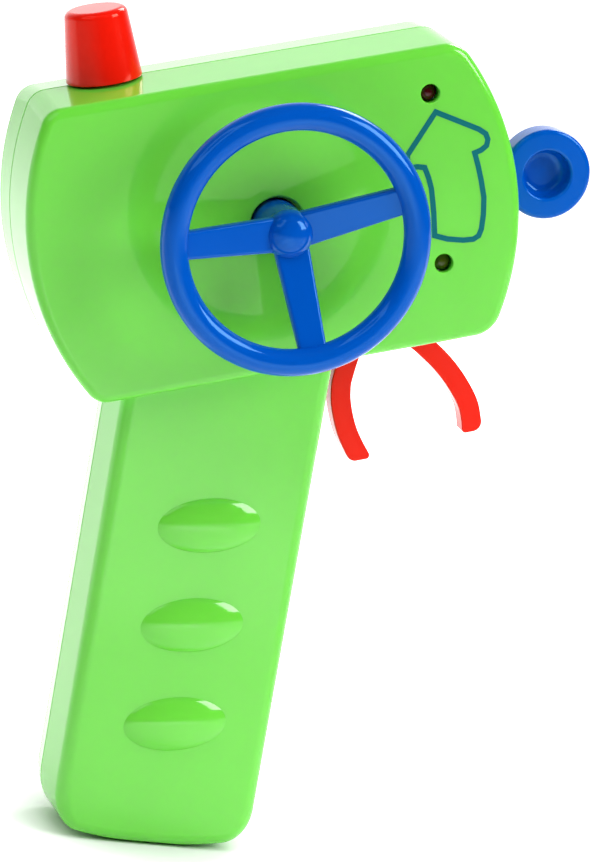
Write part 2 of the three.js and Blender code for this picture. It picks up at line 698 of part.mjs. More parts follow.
// Moulded crank that is screwed to the column end and carries the wiper and the spring tab.
function steeringCrank() {
  const tab = box(-1.2, 1.2, -14, CRANK_REAR_Y, CRANK_RADIUS + 1.6, CRANK_RADIUS + 3.4);
  const arm = box(-3, 3, CRANK_FRONT_Y, CRANK_REAR_Y, 0, CRANK_RADIUS + 3.4);
  const body = union(
    cylinder(CRANK_RADIUS, CRANK_FRONT_Y, CRANK_REAR_Y),
    cylinder(CRANK_HUB_RADIUS, CRANK_REAR_Y - 1, CRANK_HUB_END_Y),
    arm, tab,
  );
  return place(turned(cut(
    body,
    cylinder(SPIGOT_RADIUS + GAP, CRANK_FRONT_Y - 1, SPIGOT_END_Y + GAP),
    cylinder(SCREW_PILOT, SPIGOT_END_Y, CRANK_HUB_END_Y + 1, [0, 0], SMALL_STEPS),
  ), WHEEL_REST_DEG));
}

// Brass disc on the crank's end with two sprung fingers that sweep the board's tracks.
function steeringWiper() {
  const y0 = CRANK_HUB_END_Y + GAP;
  const y1 = y0 + WIPER_THICK;
  const disc = cylinder(CRANK_HUB_RADIUS, y0, y1);
  const finger = union(
    box(-1.2, 1.2, y0, y1, -10.5, -4),
    box(-1.2, 1.2, y0, BOARD.y0 - GAP, -10.5, -9.9),
  );
  return place(turned(cut(
    union(disc, turned(finger, 35), turned(finger, -35)),
    cylinder(SCREW_PILOT, y0 - 1, y1 + 1, [0, 0], SMALL_STEPS),
  ), WHEEL_REST_DEG));
}

// ---------- trigger and thumb lever ----------
// A band of even width along a smooth line.
function band(points, width) {
  const line = new THREE.SplineCurve(points.map((p) => new THREE.Vector2(...p)));
  const steps = 44;
  const half = width / 2;
  const left = [];
  const right = [];
  for (let i = 0; i <= steps; i += 1) {
    const u = i / steps;
    const point = line.getPointAt(u);
    const along = line.getTangentAt(u);
    left.push([point.x - along.y * half, point.y + along.x * half]);
    right.push([point.x + along.y * half, point.y - along.x * half]);
  }
  return [...left, ...right.reverse()];
}

function trigger() {
  const [px, pz] = TRIGGER_PIVOT;
  const arch = plate(band(TRIGGER_LINE, TRIGGER_WIDTH), TRIGGER_Y0, TRIGGER_Y1);
  const web = plate([
    [px - 4.4, pz], [px - 6.2, -34.5], [px + 4.6, -34.5], [px + 4.4, pz],
  ], TRIGGER_Y0, TRIGGER_Y1);
  const hub = cylinder(PIVOT_HUB, TRIGGER_Y0, TRIGGER_Y1, TRIGGER_PIVOT);
  const { half, length } = TRIGGER_FINGER;
  const { middleX, leftZ, rightZ } = TRIGGER_TIPS;
  const finger = box(px - half, px + half, TRIGGER_Y0, TRIGGER_Y1, pz, pz + length);
  return place(cut(
    union(arch, web, hub, finger),
    box(px - 30, middleX, TRIGGER_Y0 - 1, TRIGGER_Y1 + 1, leftZ - 10, leftZ),
    box(middleX, px + 40, TRIGGER_Y0 - 1, TRIGGER_Y1 + 1, rightZ - 10, rightZ),
    cylinder(PIVOT_BORE, TRIGGER_Y0 - 1, TRIGGER_Y1 + 1, TRIGGER_PIVOT, SMALL_STEPS),
  ));
}

function turboLever() {
  const [px, pz] = TURBO_PIVOT;
  const [dx, dz] = TURBO_DISC;
  const h = TURBO_ARM_HALF;
  const armY0 = TURBO_Y0 + 0.6;
  const edge = 0.7;
  const disc = union(
    cone(TURBO_DISC_RADIUS - edge, TURBO_DISC_RADIUS, TURBO_Y0, TURBO_Y0 + edge, TURBO_DISC),
    cylinder(TURBO_DISC_RADIUS, TURBO_Y0 + edge, TURBO_Y1 - edge, TURBO_DISC),
    cone(TURBO_DISC_RADIUS, TURBO_DISC_RADIUS - edge, TURBO_Y1 - edge, TURBO_Y1, TURBO_DISC),
  );
  const clearance = 0.7;
  const wall = cylinder(
    HEAD_RIGHT_ARC.r + clearance, TURBO_Y0 - 1, TURBO_Y1 + 1,
    [HEAD_RIGHT_ARC.cx, HEAD_RIGHT_ARC.cz], 96,
  );
  const knob = cut(disc, wall, turned(wall, -TURBO_TRAVEL_DEG, TURBO_PIVOT));
  const arm = plate([
    [px, pz + h], [px, pz - h], [dx - 2, dz - h], [dx - 2, dz + h],
  ], armY0, TURBO_Y1);
  const tail = box(px - 10, px, armY0, TURBO_Y1, pz - 1.8, pz + 1.8);
  const hub = cylinder(PIVOT_HUB, armY0, TURBO_Y1, TURBO_PIVOT);
  return place(cut(
    union(knob, arm, tail, hub),
    cylinder(TURBO_RECESS_RADIUS, TURBO_Y0 - 1, TURBO_FLOOR_Y, TURBO_DISC),
    cone(
      TURBO_RECESS_RADIUS + 2 * TURBO_LIP, TURBO_RECESS_RADIUS, TURBO_Y0 - TURBO_LIP, TURBO_Y0 + TURBO_LIP,
      TURBO_DISC,
    ),
    cylinder(PIVOT_BORE, TURBO_Y0 - 1, TURBO_Y1 + 1, TURBO_PIVOT, SMALL_STEPS),
  ));
}

function pivotPin(at) {
  const front = HEAD_FRONT_Y + WALL + 1.8;
  const rear = HEAD_REAR_Y - WALL - 2.3;
  return place(cylinder(PIN_RADIUS, front, rear, at, SMALL_STEPS));
}

// Torsion spring round a front boss or the column's collar.
function torsionSpring(at, radius, y0, y1, startDeg, leg) {
  const spring = coil({
    radius, from: y0, to: y1, turns: 3, start: startDeg * RAD, lead: leg, tail: leg,
  }, SPRING_WIRE);
  return place(moved(spring, at[0], 0, at[1]));
}

// ---------- aerial ----------
function aerialCap() {
  const profile = [
    [AERIAL_BASE_RADIUS, 0],
    [AERIAL_TOP_RADIUS, AERIAL_HEIGHT - AERIAL_EDGE],
  ];
  for (let i = 1; i <= ARC_STEPS; i += 1) {
    const a = (i / ARC_STEPS) * (Math.PI / 2);
    profile.push([
      AERIAL_TOP_RADIUS - AERIAL_EDGE * (1 - Math.cos(a)),
      AERIAL_HEIGHT - AERIAL_EDGE * (1 - Math.sin(a)),
    ]);
  }
  const neckDeep = WALL + HEAD_DRAFT + 1.6;
  const outline = [
    [0, -neckDeep - 1.4], [AERIAL_FLANGE_RADIUS, -neckDeep - 1.4],
    [AERIAL_FLANGE_RADIUS, -neckDeep], [AERIAL_NECK_RADIUS, -neckDeep],
    [AERIAL_NECK_RADIUS, 0], ...profile, [0, AERIAL_HEIGHT],
  ].map(([r, h]) => new THREE.Vector2(r, h));
  const body = solid(new THREE.LatheGeometry(outline, CIRCLE_STEPS));
  const bore = cylinder(AERIAL_BORE_RADIUS, -neckDeep - 3, AERIAL_HEIGHT - 3, [0, 0], 24);
  const cap = upright(body.subtract(bore));
  return place(moved(cap, AERIAL_X, SEAM_Y, AERIAL_BASE_Z));
}

function aerialCoil() {
  const radius = 2.4;
  const winding = coil({ radius, from: 0, to: 13, turns: 6, start: 0 }, SPRING_WIRE);
  const stem = wire([
    [radius, 0.3, 0], [radius, -3, 0], [1, -7, 1.2], [0, -11, 2.2],
  ], SPRING_WIRE, 10);
  const body = upright(union(winding, stem));
  return place(moved(body, AERIAL_X, SEAM_Y, AERIAL_BASE_Z));
}

// ---------- electronics ----------
function mainBoard() {
  const { x0, x1, z0, z1, y0, y1 } = BOARD;
  const clear = 0.6;
  return place(cut(
    box(x0, x1, y0, y1, z0, z1),
    cylinder(PIVOT_BOSS + clear, y0 - 1, y1 + 1, TURBO_PIVOT),
    cylinder(PIVOT_BOSS + clear, y0 - 1, y1 + 1, TRIGGER_PIVOT),
    ...HEAD_BOSSES.map((at) => cylinder(BOSS_RADIUS + clear, y0 - 1, y1 + 1, at)),
    ...BOARD_POSTS.map((at) => cylinder(1.4, y0 - 1, y1 + 1, at, SMALL_STEPS)),
  ));
}

// Pieces soldered to the board's front stand just clear of it.
const ON_BOARD_Y = BOARD.y0 - GAP;

function chip() {
  const [x, z] = [-20, 3];
  const body = box(x - 5.2, x + 5.2, ON_BOARD_Y - 2, ON_BOARD_Y - 0.3, z - 3.6, z + 3.6);
  const legs = [];
  const pairs = 8;
  for (let i = 0; i < pairs; i += 1) {
    const lx = x - 4.45 + i * 1.27;
    legs.push(box(lx - 0.22, lx + 0.22, ON_BOARD_Y - 1.2, ON_BOARD_Y, z - 5, z + 5));
  }
  return place(union(body, ...legs));
}

function crystalCan() {
  const [x0, x1, z] = [-29.5, -18.5, -10];
  const half = 2.3;
  const y0 = ON_BOARD_Y - 3.6;
  const can = box(x0, x1, y0, ON_BOARD_Y, z - half, z + half);
  const ends = [x0, x1].map((x) => cylinder(half, y0, ON_BOARD_Y, [x, z], SMALL_STEPS));
  return place(union(can, ...ends));
}

function tuningCoil() {
  const [x, z] = [-20, 19];
  const can = box(x - 3.6, x + 3.6, ON_BOARD_Y - 8, ON_BOARD_Y, z - 3.6, z + 3.6);
  const core = cylinder(2, ON_BOARD_Y - 9, ON_BOARD_Y - 6.8, [x, z], SMALL_STEPS);
  const slot = box(x - 1.4, x + 1.4, ON_BOARD_Y - 10, ON_BOARD_Y - 8, z - 0.3, z + 0.3);
  return place(cut(can, cylinder(2.4, ON_BOARD_Y - 9, ON_BOARD_Y - 7, [x, z], SMALL_STEPS))
    .add(core.subtract(slot)));
}

function capacitor() {
  const at = [20, 19];
  return place(union(
    cylinder(3.1, ON_BOARD_Y - 8.5, ON_BOARD_Y - 0.2, at, SMALL_STEPS),
    cylinder(2.7, ON_BOARD_Y - 9, ON_BOARD_Y, at, SMALL_STEPS),
  ));
}

// Push switch lying on the board, with its plunger pointing along the given head direction.
function pushSwitch(x, z, pointDeg) {
  const y1 = ON_BOARD_Y;
  const y0 = ON_BOARD_Y - 8.3;
  const body = union(
    box(-5.6, -1, y0, y1, -3, 3),
    box(-1.5, 0, (y0 + y1) / 2 - 3.2, (y0 + y1) / 2 - 0.4, -1.4, 1.4),
  );
  return place(moved(turned(body, pointDeg), x, 0, z));
}

function led(at) {
  const domeY = HEAD_FRONT_Y + WALL - LED_RISE;
  const flangeY = domeY + 7.6;
  const ball = new THREE.SphereGeometry(LED_RADIUS, SMALL_STEPS, 10);
  const lead = (dx) => box(
    at[0] + dx - 0.25, at[0] + dx + 0.25, flangeY, ON_BOARD_Y, at[1] - 0.25, at[1] + 0.25,
  );
  return place(union(
    moved(solid(ball), at[0], domeY + LED_RADIUS, at[1]),
    cylinder(LED_RADIUS, domeY + LED_RADIUS, flangeY, at, SMALL_STEPS),
    cylinder(LED_RADIUS + 0.4, flangeY, flangeY + 1, at, SMALL_STEPS),
    lead(-1.27), lead(1.27),
  ));
}

// ---------- cells and contacts ----------
function cell(x, z0, nubUp) {
  const body = cylinder(CELL_RADIUS, 0, CELL_BODY, [0, 0], 36);
  const nub = cylinder(CELL_NUB_RADIUS, CELL_BODY - 0.5, CELL_BODY + CELL_NUB, [0, 0], 24);
  const standing = upright(union(body, nub));
  const whole = CELL_BODY + CELL_NUB;
  const set = nubUp ? standing : standing.rotate([180, 0, 0]).translate([0, 0, whole]);
  return moved(set, x, CELL_Y, z0);
}

function contactSpring(x, plateZ, tipZ) {
  const up = Math.sign(tipZ - plateZ);
  const spring = coil({
    radius: 4.6, endRadius: 2.2, from: 0, to: Math.abs(tipZ - plateZ), turns: 3, start: 0,
  }, SPRING_WIRE);
  const standing = upright(spring);
  return moved(up > 0 ? standing : standing.rotate([180, 0, 0]), x, CELL_Y, plateZ);
}

function contactPlate(x0, x1, z0) {
  return box(x0, x1, CELL_Y - CONTACT_HALF, CELL_Y + CONTACT_HALF, z0, z0 + CONTACT_THICK);
}

function linkContact() {
  const z = BAY.z0 + GAP;
  return union(
    contactPlate(-CELL_X - CONTACT_HALF, CELL_X + CONTACT_HALF, z),
    contactSpring(-CELL_X, z + CONTACT_THICK, UPRIGHT_CELL_Z - CONTACT_PLAY),
  );
}

function positiveContact() {
  const z = BAY.z1 - GAP - CONTACT_THICK;
  const tipZ = UPRIGHT_CELL_Z + CELL_BODY + CELL_NUB + GAP;
  const padHalf = 2.2;
  return union(
    contactPlate(-CELL_X - CONTACT_HALF, -CELL_X + CONTACT_HALF, z),
    box(
      -CELL_X - padHalf, -CELL_X + padHalf, CELL_Y - padHalf, CELL_Y + padHalf, tipZ, z + 0.1,
    ),
  );
}

function negativeContact() {
  const z = BAY.z1 - GAP - CONTACT_THICK;
  return union(
    contactPlate(CELL_X - CONTACT_HALF, CELL_X + CONTACT_HALF, z),
    contactSpring(CELL_X, z, INVERTED_CELL_Z + CELL_BODY + CELL_NUB + CONTACT_PLAY),
  );
}

function supplyWire(x, lift, endX) {
  const y = CELL_Y - WIRE_DROP_Y;
  return wire([
    [x, y, BAY.z1 + GAP / 2],
    [x, y, BAY.z1 + 8],
    [x * 1.25, y + 1, 102],
    [x * 0.9, 1 + lift, 126],
    headPoint(endX, 3, -19),
    headPoint(endX, ON_BOARD_Y - WIRE_RADIUS, -16),
  ], WIRE_RADIUS, 28);
}

// ---------- battery door ----------
function batteryDoor() {
  const { x, y0, z0, z1 } = DOOR;
  const at = [0, DOOR_SCREW_Z];
  const panel = box(-x, x, y0, GRIP_REAR_Y, z0, z1);
  const boss = cylinder(DOOR_BOSS_RADIUS, DOOR_LEDGE_Y + GAP, y0 + 0.5, at);
  const { count, pitch, width, depth, half, first } = DOOR_GROOVE;
  const grooves = [];
  for (let i = 0; i < count; i += 1) {
    const z = z0 + first + i * pitch;
    grooves.push(box(-half, half, GRIP_REAR_Y - depth, GRIP_REAR_Y + 1, z, z + width));
  }
  return cut(
    union(panel, boss),
    cylinder(SCREW_HEAD_RADIUS + 0.4, y0 - 0.6, GRIP_REAR_Y + 1, at, SMALL_STEPS),
    cylinder(SCREW_PILOT, DOOR_LEDGE_Y - 1, y0, at, SMALL_STEPS),
    ...grooves,
  );
}

// ---------- assembly ----------
const GREEN = 0x62cf3c;
const BLUE = 0x1550c8;
const RED = 0xe5281c;
const STEEL = 0xb9bcc0;
const BRASS = 0xc9a24a;
const WHITE = 0xe8e8e4;
const BLACK = 0x1b1b1d;

const assembly = new THREE.Group();
assembly.name = 'radio_transmitter_controller';

function add(name, body, colour) {
  const { vertProperties, triVerts, numProp } = body.getMesh();
  const position = new Float32Array((vertProperties.length / numProp) * 3);
  for (let i = 0; i < position.length / 3; i += 1) {
    position.set(vertProperties.subarray(i * numProp, i * numProp + 3), i * 3);
  }
  const shape = new THREE.BufferGeometry();
  shape.setAttribute('position', new THREE.BufferAttribute(position, 3));
  shape.setIndex(new THREE.BufferAttribute(new Uint32Array(triVerts), 1));
  const mesh = new THREE.Mesh(shape, new THREE.MeshStandardMaterial({ color: colour }));
  mesh.name = name;
  assembly.add(mesh);
}

add('front_shell', frontShell(), GREEN);
add('rear_shell', rearShell(), GREEN);
HEAD_BOSSES.forEach((at, i) => {
  add(`case_screw_head_${i + 1}`, place(screw(at, HEAD_SEAT_Y, HEAD_SCREW_TIP_Y)), STEEL);
});
GRIP_BOSSES.forEach((at, i) => {
  add(`case_screw_grip_${i + 1}`, screw(at, GRIP_SEAT_Y, GRIP_SCREW_TIP_Y), STEEL);
});
add('battery_door', batteryDoor(), GREEN);
add('battery_door_screw', screw([0, DOOR_SCREW_Z], DOOR.y0 - 0.6, 2.2), STEEL);

add('steering_wheel', steeringWheel(), BLUE);
add('steering_crank', steeringCrank(), WHITE);
add('steering_wiper', steeringWiper(), BRASS);
add('steering_screw', place(turned(
  screw([0, 0], CRANK_HUB_END_Y + GAP + WIPER_THICK, STEERING_SCREW.tipY, STEERING_SCREW.head),
  WHEEL_REST_DEG,
)), STEEL);
add('steering_spring', torsionSpring([0, 0], COLLAR_RADIUS + 1, -15.5, -11.5, 90, 9), STEEL);

add('trigger', trigger(), RED);
add('trigger_pin', pivotPin(TRIGGER_PIVOT), STEEL);
add('trigger_spring', torsionSpring(TRIGGER_PIVOT, PIVOT_BOSS + 0.9, -8, -4.3, 90, 7), STEEL);

add('turbo_lever', turboLever(), BLUE);
add('turbo_pin', pivotPin(TURBO_PIVOT), STEEL);
add('turbo_spring', torsionSpring(TURBO_PIVOT, PIVOT_BOSS + 0.9, -10.5, -7, 0, 6), STEEL);

add('aerial_cap', aerialCap(), RED);
add('aerial_coil', aerialCoil(), 0xb87333);

add('main_board', mainBoard(), 0x2c7a3c);
BOARD_POSTS.forEach((at, i) => {
  const { head, shank } = BOARD_SCREW;
  const seated = screw(at, -BOARD.y0, -BOARD_SCREW_TIP_Y, head, shank).mirror([0, 1, 0]);
  add(`board_screw_${i + 1}`, place(seated), STEEL);
});
const switchZ = TRIGGER_PIVOT[1] + SWITCH_RISE;
add('trigger_switch_forward', pushSwitch(TRIGGER_PIVOT[0] - SWITCH_REACH, switchZ, 0), BLACK);
add('trigger_switch_reverse', pushSwitch(TRIGGER_PIVOT[0] + SWITCH_REACH, switchZ, 180), BLACK);
add('turbo_switch', pushSwitch(TURBO_PIVOT[0] - 8, TURBO_PIVOT[1] - 4.3, 90), BLACK);
add('encoder_chip', chip(), BLACK);
add('crystal_can', crystalCan(), STEEL);
add('tuning_coil', tuningCoil(), STEEL);
add('capacitor', capacitor(), 0x20304a);
add('red_led', led(RED_LED), 0x7a1010);
add('green_led', led(GREEN_LED), 0x3a5a1c);

add('battery_cell_1', cell(-CELL_X, UPRIGHT_CELL_Z, true), 0x5a6670);
add('battery_cell_2', cell(CELL_X, INVERTED_CELL_Z, false), 0x5a6670);
add('battery_contact_link', linkContact(), STEEL);
add('battery_contact_positive', positiveContact(), STEEL);
add('battery_contact_negative', negativeContact(), STEEL);
add('supply_wire_red', supplyWire(-CELL_X, 0, -15), 0xb01818);
add('supply_wire_black', supplyWire(CELL_X, 1.5, -9), BLACK);

export default assembly;
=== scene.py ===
import math

import bmesh
import bpy
from mathutils import Matrix, Vector


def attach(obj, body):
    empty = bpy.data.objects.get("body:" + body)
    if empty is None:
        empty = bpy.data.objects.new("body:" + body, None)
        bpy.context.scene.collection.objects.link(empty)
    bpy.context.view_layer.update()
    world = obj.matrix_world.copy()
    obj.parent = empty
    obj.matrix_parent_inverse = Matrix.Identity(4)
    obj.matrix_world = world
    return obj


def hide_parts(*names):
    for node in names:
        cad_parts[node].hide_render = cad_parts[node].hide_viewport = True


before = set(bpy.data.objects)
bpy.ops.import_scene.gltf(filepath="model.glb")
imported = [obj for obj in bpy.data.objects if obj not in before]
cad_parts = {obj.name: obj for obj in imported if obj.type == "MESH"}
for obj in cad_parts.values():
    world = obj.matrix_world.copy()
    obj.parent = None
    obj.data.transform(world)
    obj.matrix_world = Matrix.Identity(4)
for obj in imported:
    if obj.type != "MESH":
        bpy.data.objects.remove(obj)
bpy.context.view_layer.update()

# Dimensions, in millimetres. +Z runs up the grip and -Y faces the wheel. Head
# features use head coordinates, with the wheel's axis as origin and the head
# level; place() tilts them and lifts them to the top of the grip.
MM = 0.001
AXIS = (3.7, 162.4)
TILT = math.radians(17)
GAP = 0.3
WALL = 2.2
SHARP_ANGLE = math.radians(32)
FRONT_EDGE_Y = 1.85
REAR_EDGE_Y = 2.15
SEAM_Y = 2.0
SEAM_CHAMFER = 0.22

HEAD_FRONT_Y = -20.0
HEAD_REAR_Y = 17.0
HEAD_HALF_HEIGHT = 37.2
HEAD_DRAFT = 0.85
HEAD_FRONT_FILLET = 2.4
HEAD_REAR_FILLET = 2.5
LEFT_ARC = dict(cx=8.3, cz=2.2, r=70.2, corner=5.5)
RIGHT_ARC = dict(cx=-7.7, cz=-0.3, r=69.6, corner=8.0)

GRIP_HALF_WIDTH = 26.0
GRIP_FRONT_Y = -15.0
GRIP_REAR_Y = 13.5
GRIP_DRAFT = 0.9
GRIP_FILLET = 3.5
GRIP_TOP_Z = 140.0
GRIP_FLAT_HALF = 5.0
BELLY_RADIUS = 70.0
BELLY_ANGLE = math.radians(12)
GRIP_LEFT_CORNER = 12.0
GRIP_RIGHT_CORNER = 9.5

BUMP_TOP_Z = 84.2
BUMP_PITCH = 25.9
BUMP_TILT = math.radians(9.3)
BUMP_HALF_LENGTH = 15.2
BUMP_HALF_HEIGHT = 8.1
BUMP_DEPTH = 2.7
BUMP_SINK = 2.75

WHEEL_REST = 1.8
WHEEL_HOLE_RADIUS = 6.95
RIM_RADIUS = 30.2
RIM_TUBE = 3.38
RIM_Y = -38.33
HUB_Y = -30.7
HUB_RADIUS = 6.1
SPOKE_SIDE = 98.7
SPOKE_WIDTH = (9.0, 6.7)
COLUMN_RADIUS = 6.0
COLUMN_END_Y = -9.7
SPIGOT_END_Y = -5.5
COLLAR_RADIUS = 8.4
COLLAR_END_Y = -10.0

TRIGGER_PIVOT = (27.0, -24.0)
TRIGGER_Y = (-0.75, 4.75)
TRIGGER_WIDTH = 5.25
TRIGGER_LINE = [
    (19.4, -71.8), (18.2, -68.7), (16.9, -65.3), (15.75, -61.6), (15.15, -58.0), (14.9, -54.0), (15.15, -50.6),
    (16.2, -46.6), (20.4, -38.6), (27.2, -34.4), (34.8, -39.0), (40.2, -45.0), (43.6, -50.0), (46.1, -55.0),
    (47.7, -59.6), (48.05, -63.7), (47.9, -67.0), (47.6, -70.0),
]
TRIGGER_TIPS = ((-69.0, 2.3, 1.0), (-67.0, 2.5, 1.0))
TURBO_PIVOT = (46.0, 0.8)
TURBO_DISC = (73.2, -2.9)
TURBO_DISC_RADIUS = 11.4
TURBO_RECESS_RADIUS = 6.1
TURBO_LIP = 0.75
TURBO_FLOOR_Y = -0.8
TURBO_Y = (-6.0, 0.9)
TURBO_TRAVEL = 14.0
PIVOT_BORE = 1.8
PIVOT_HUB = 4.6
PIVOT_BOSS = 3.4

AERIAL_X = -33.9
AERIAL_BASE_Z = 38.35
AERIAL_HEIGHT = 17.6

LED_TIP_Y = HEAD_FRONT_Y + WALL - 0.9
LED_FLANGE_Y = LED_TIP_Y + 7.6
LED_RADIUS = 2.5
LED_HOLE_RADIUS = 2.38
RED_LED = (41.8, 25.8)
GREEN_LED = (40.5, -17.0)
BOARD = dict(y0=6.0, y1=7.6)
BOARD_POSTS = [(-33.0, 20.0), (-33.0, -14.0)]
HEAD_BOSSES = [(-51.0, 8.0), (-42.0, -30.0), (14.0, 31.5), (49.5, -28.0)]
GRIP_BOSSES = [(0.0, 7.4), (0.0, 96.0)]
HEAD_SEAT_Y = 7.0
GRIP_SEAT_Y = 5.5
BOSS_RADIUS = 4.1
PILOT_RADIUS = 1.6
SCREW_HOLE_RADIUS = 3.0

BAY = dict(x=17.2, y0=-9.0, z0=13.0, z1=72.5)
BAY_WALL = 1.5
DOOR = dict(x=18.5, y0=11.6, z0=12.5, z1=87.5)
DOOR_SCREW_Z = 81.5
DOOR_LEDGE_Y = 9.3
CELL_X = 8.6
CELL_Y = -0.6
CELL_RADIUS = 7.25
CELL_BODY = 49.2
CELL_NUB = 1.3
CELL_BAND = 13.0
CONTACT_HALF = 6.0
UPRIGHT_CELL_Z = 18.0
INVERTED_CELL_Z = 14.1


# ---- Mesh tools. Everything is made in millimetres and scaled once, at the end. ----
def new_object(name, verts, faces):
    mesh = bpy.data.meshes.new(name)
    mesh.from_pydata([tuple(v) for v in verts], [], faces)
    mesh.update()
    obj = bpy.data.objects.new(name, mesh)
    bpy.context.scene.collection.objects.link(obj)
    return obj


def discard(obj):
    mesh = obj.data
    bpy.data.objects.remove(obj)
    bpy.data.meshes.remove(mesh)


def face_outwards(verts, faces):
    total = 0.0
    for f in faces:
        a = Vector(verts[f[0]])
        for k in range(1, len(f) - 1):
            total += a.dot(Vector(verts[f[k]]).cross(Vector(verts[f[k + 1]])))
    return [list(reversed(f)) for f in faces] if total < 0 else faces


def loft(rings, joined=False):
    """A skin through rings of equal length; the ends are capped, or joined to each other."""
    n = len(rings[0])
    faces = []
    for k in range(len(rings) if joined else len(rings) - 1):
        k2 = (k + 1) % len(rings)
        for i in range(n):
            j = (i + 1) % n
            faces.append([k * n + i, k * n + j, k2 * n + j, k2 * n + i])
    if not joined:
        faces.append(list(reversed(range(n))))
        faces.append([(len(rings) - 1) * n + i for i in range(n)])
    verts = [p for ring in rings for p in ring]
    return new_object("solid", verts, face_outwards(verts, faces))


def baked(obj):
    """Applies obj's modifiers to its mesh."""
    dg = bpy.context.evaluated_depsgraph_get()
    mesh = bpy.data.meshes.new_from_object(obj.evaluated_get(dg))
    obj.modifiers.clear()
    old = obj.data
    obj.data = mesh
    bpy.data.meshes.remove(old)


def combine(body, tools, operation):
    for tool in tools:
        mod = body.modifiers.new("bool", "BOOLEAN")
        mod.operation = operation
        mod.solver = "MANIFOLD"
        mod.object = tool
        baked(body)
        discard(tool)
    return body


def union(body, *tools):
    return combine(body, tools, "UNION")


def cut(body, *tools):
    return combine(body, tools, "DIFFERENCE")


def moved(obj, matrix):
    obj.data.transform(matrix)
    return obj


def shift(obj, x, y, z):
    return moved(obj, Matrix.Translation((x, y, z)))


def turned(obj, degrees, pivot=(0.0, 0.0)):
    """Turns obj about a Y axis through pivot, anticlockwise as seen from the wheel's side."""
    there = Matrix.Translation((pivot[0], 0, pivot[1]))
    turn = Matrix.Rotation(-math.radians(degrees), 4, "Y")
    return moved(obj, there @ turn @ there.inverted())


def place(obj):
    """Carries a body from head coordinates to the tilted head."""
    lift = Matrix.Translation((AXIS[0], 0, AXIS[1]))
    return moved(obj, lift @ Matrix.Rotation(-TILT, 4, "Y"))


def head_point(x, y, z):
    c, s = math.cos(TILT), math.sin(TILT)
    return (AXIS[0] + x * c - z * s, y, AXIS[1] + x * s + z * c)


def upright(obj):
    """Stands a body made along Y up along Z, with its +Y end up."""
    return moved(obj, Matrix.Rotation(math.radians(90), 4, "X"))


def at_depth(points, y):
    return [(x, y, z) for x, z in points]


def arc_points(cx, cz, r, start, end, steps):
    angles = [start + (end - start) * i / steps for i in range(steps + 1)]
    return [(cx + r * math.cos(a), cz + r * math.sin(a)) for a in angles]


def quarter(steps):
    """(1 - cos, 1 - sin) of evenly spaced angles from 0 to 90 degrees: the points of a rounded edge."""
    angles = [math.pi / 2 * i / steps for i in range(steps + 1)]
    return [(1 - math.cos(a), 1 - math.sin(a)) for a in angles]


def circle(cx, cz, radius, steps):
    return lambda inset=0.0: arc_points(cx, cz, radius - inset, 0, 2 * math.pi, steps)[:-1]


def rounded_rect(x0, x1, z0, z1, radius, steps=6):
    def outline(inset=0.0):
        r = max(radius - inset, 0.02)
        left, right, low, high = x0 + inset + r, x1 - inset - r, z0 + inset + r, z1 - inset - r
        points = []
        for cx, cz, start in ((right, low, -90), (right, high, 0), (left, high, 90), (left, low, 180)):
            points += arc_points(cx, cz, r, math.radians(start), math.radians(start + 90), steps)
        return points
    return outline


def pad(outline, y0, y1, edge0=0.0, edge1=0.0, steps=5):
    """A plate between y0 and y1 with rounded edges; outline(inset) gives its shape in X and Z."""
    levels = [(y0 + edge0 * c, edge0 * s) for c, s in quarter(steps)] if edge0 else [(y0, 0.0)]
    levels += [(y1 - edge1 * s, edge1 * c) for c, s in quarter(steps)] if edge1 else [(y1, 0.0)]
    return loft([at_depth(outline(inset), y) for y, inset in levels])


def plate(points, y0, y1):
    return loft([at_depth(points, y) for y in (y0, y1)])


def cylinder(radius, y0, y1, at=(0.0, 0.0), steps=64, edge0=0.0, edge1=0.0):
    return pad(circle(*at, radius, steps), y0, y1, edge0, edge1)


def rods(radius, y0, y1, spots, steps=64):
    return [cylinder(radius, y0, y1, at, steps) for at in spots]


def head_rods(radius, y0, y1, spots, steps=64):
    return [place(rod) for rod in rods(radius, y0, y1, spots, steps)]


def cone(r0, r1, y0, y1, at, steps):
    return loft([at_depth(circle(*at, r, steps)(), y) for r, y in ((r0, y0), (r1, y1))])


def box(x0, x1, y0, y1, z0, z1):
    return plate([(x0, z0), (x1, z0), (x1, z1), (x0, z1)], y0, y1)


def soft_box(x0, x1, y0, y1, z0, z1, edge=0.3, corner=0.3):
    return pad(rounded_rect(x0, x1, z0, z1, corner), y0, y1, edge, edge, 3)


def lathe(profile, steps=64):
    """Revolves (radius, height) pairs about Y. Both ends lie on the axis."""
    inner = [p for p in profile if p[0] > 1e-6]
    verts = [(x, h, z) for r, h in inner for x, z in circle(0, 0, r, steps)()]
    low, high = len(verts), len(verts) + 1
    verts += [(0.0, profile[0][1], 0.0), (0.0, profile[-1][1], 0.0)]
    top = (len(inner) - 1) * steps
    faces = []
    for i in range(steps):
        j = (i + 1) % steps
        faces += [[k + i, k + j, k + steps + j, k + steps + i] for k in range(0, top, steps)]
        faces += [[low, j, i], [high, top + i, top + j]]
    return new_object("solid", verts, face_outwards(verts, faces))


def ball(radius, at, scale, steps):
    rows = steps // 2
    angles = [math.pi * i / rows for i in range(1, rows)]
    profile = [(radius * math.sin(a), -radius * math.cos(a)) for a in angles]
    body = lathe([(0.0, -radius), *profile, (0.0, radius)], steps)
    return shift(moved(body, Matrix.Diagonal((*scale, 1.0))), *at)


def ring_torus(major, minor, y, steps=160, sides=40):
    section = arc_points(major, y, minor, 0, 2 * math.pi, sides)[:-1]
    turns = [2 * math.pi * i / steps for i in range(steps)]
    return loft([[(r * math.cos(a), h, r * math.sin(a)) for r, h in section] for a in turns], True)


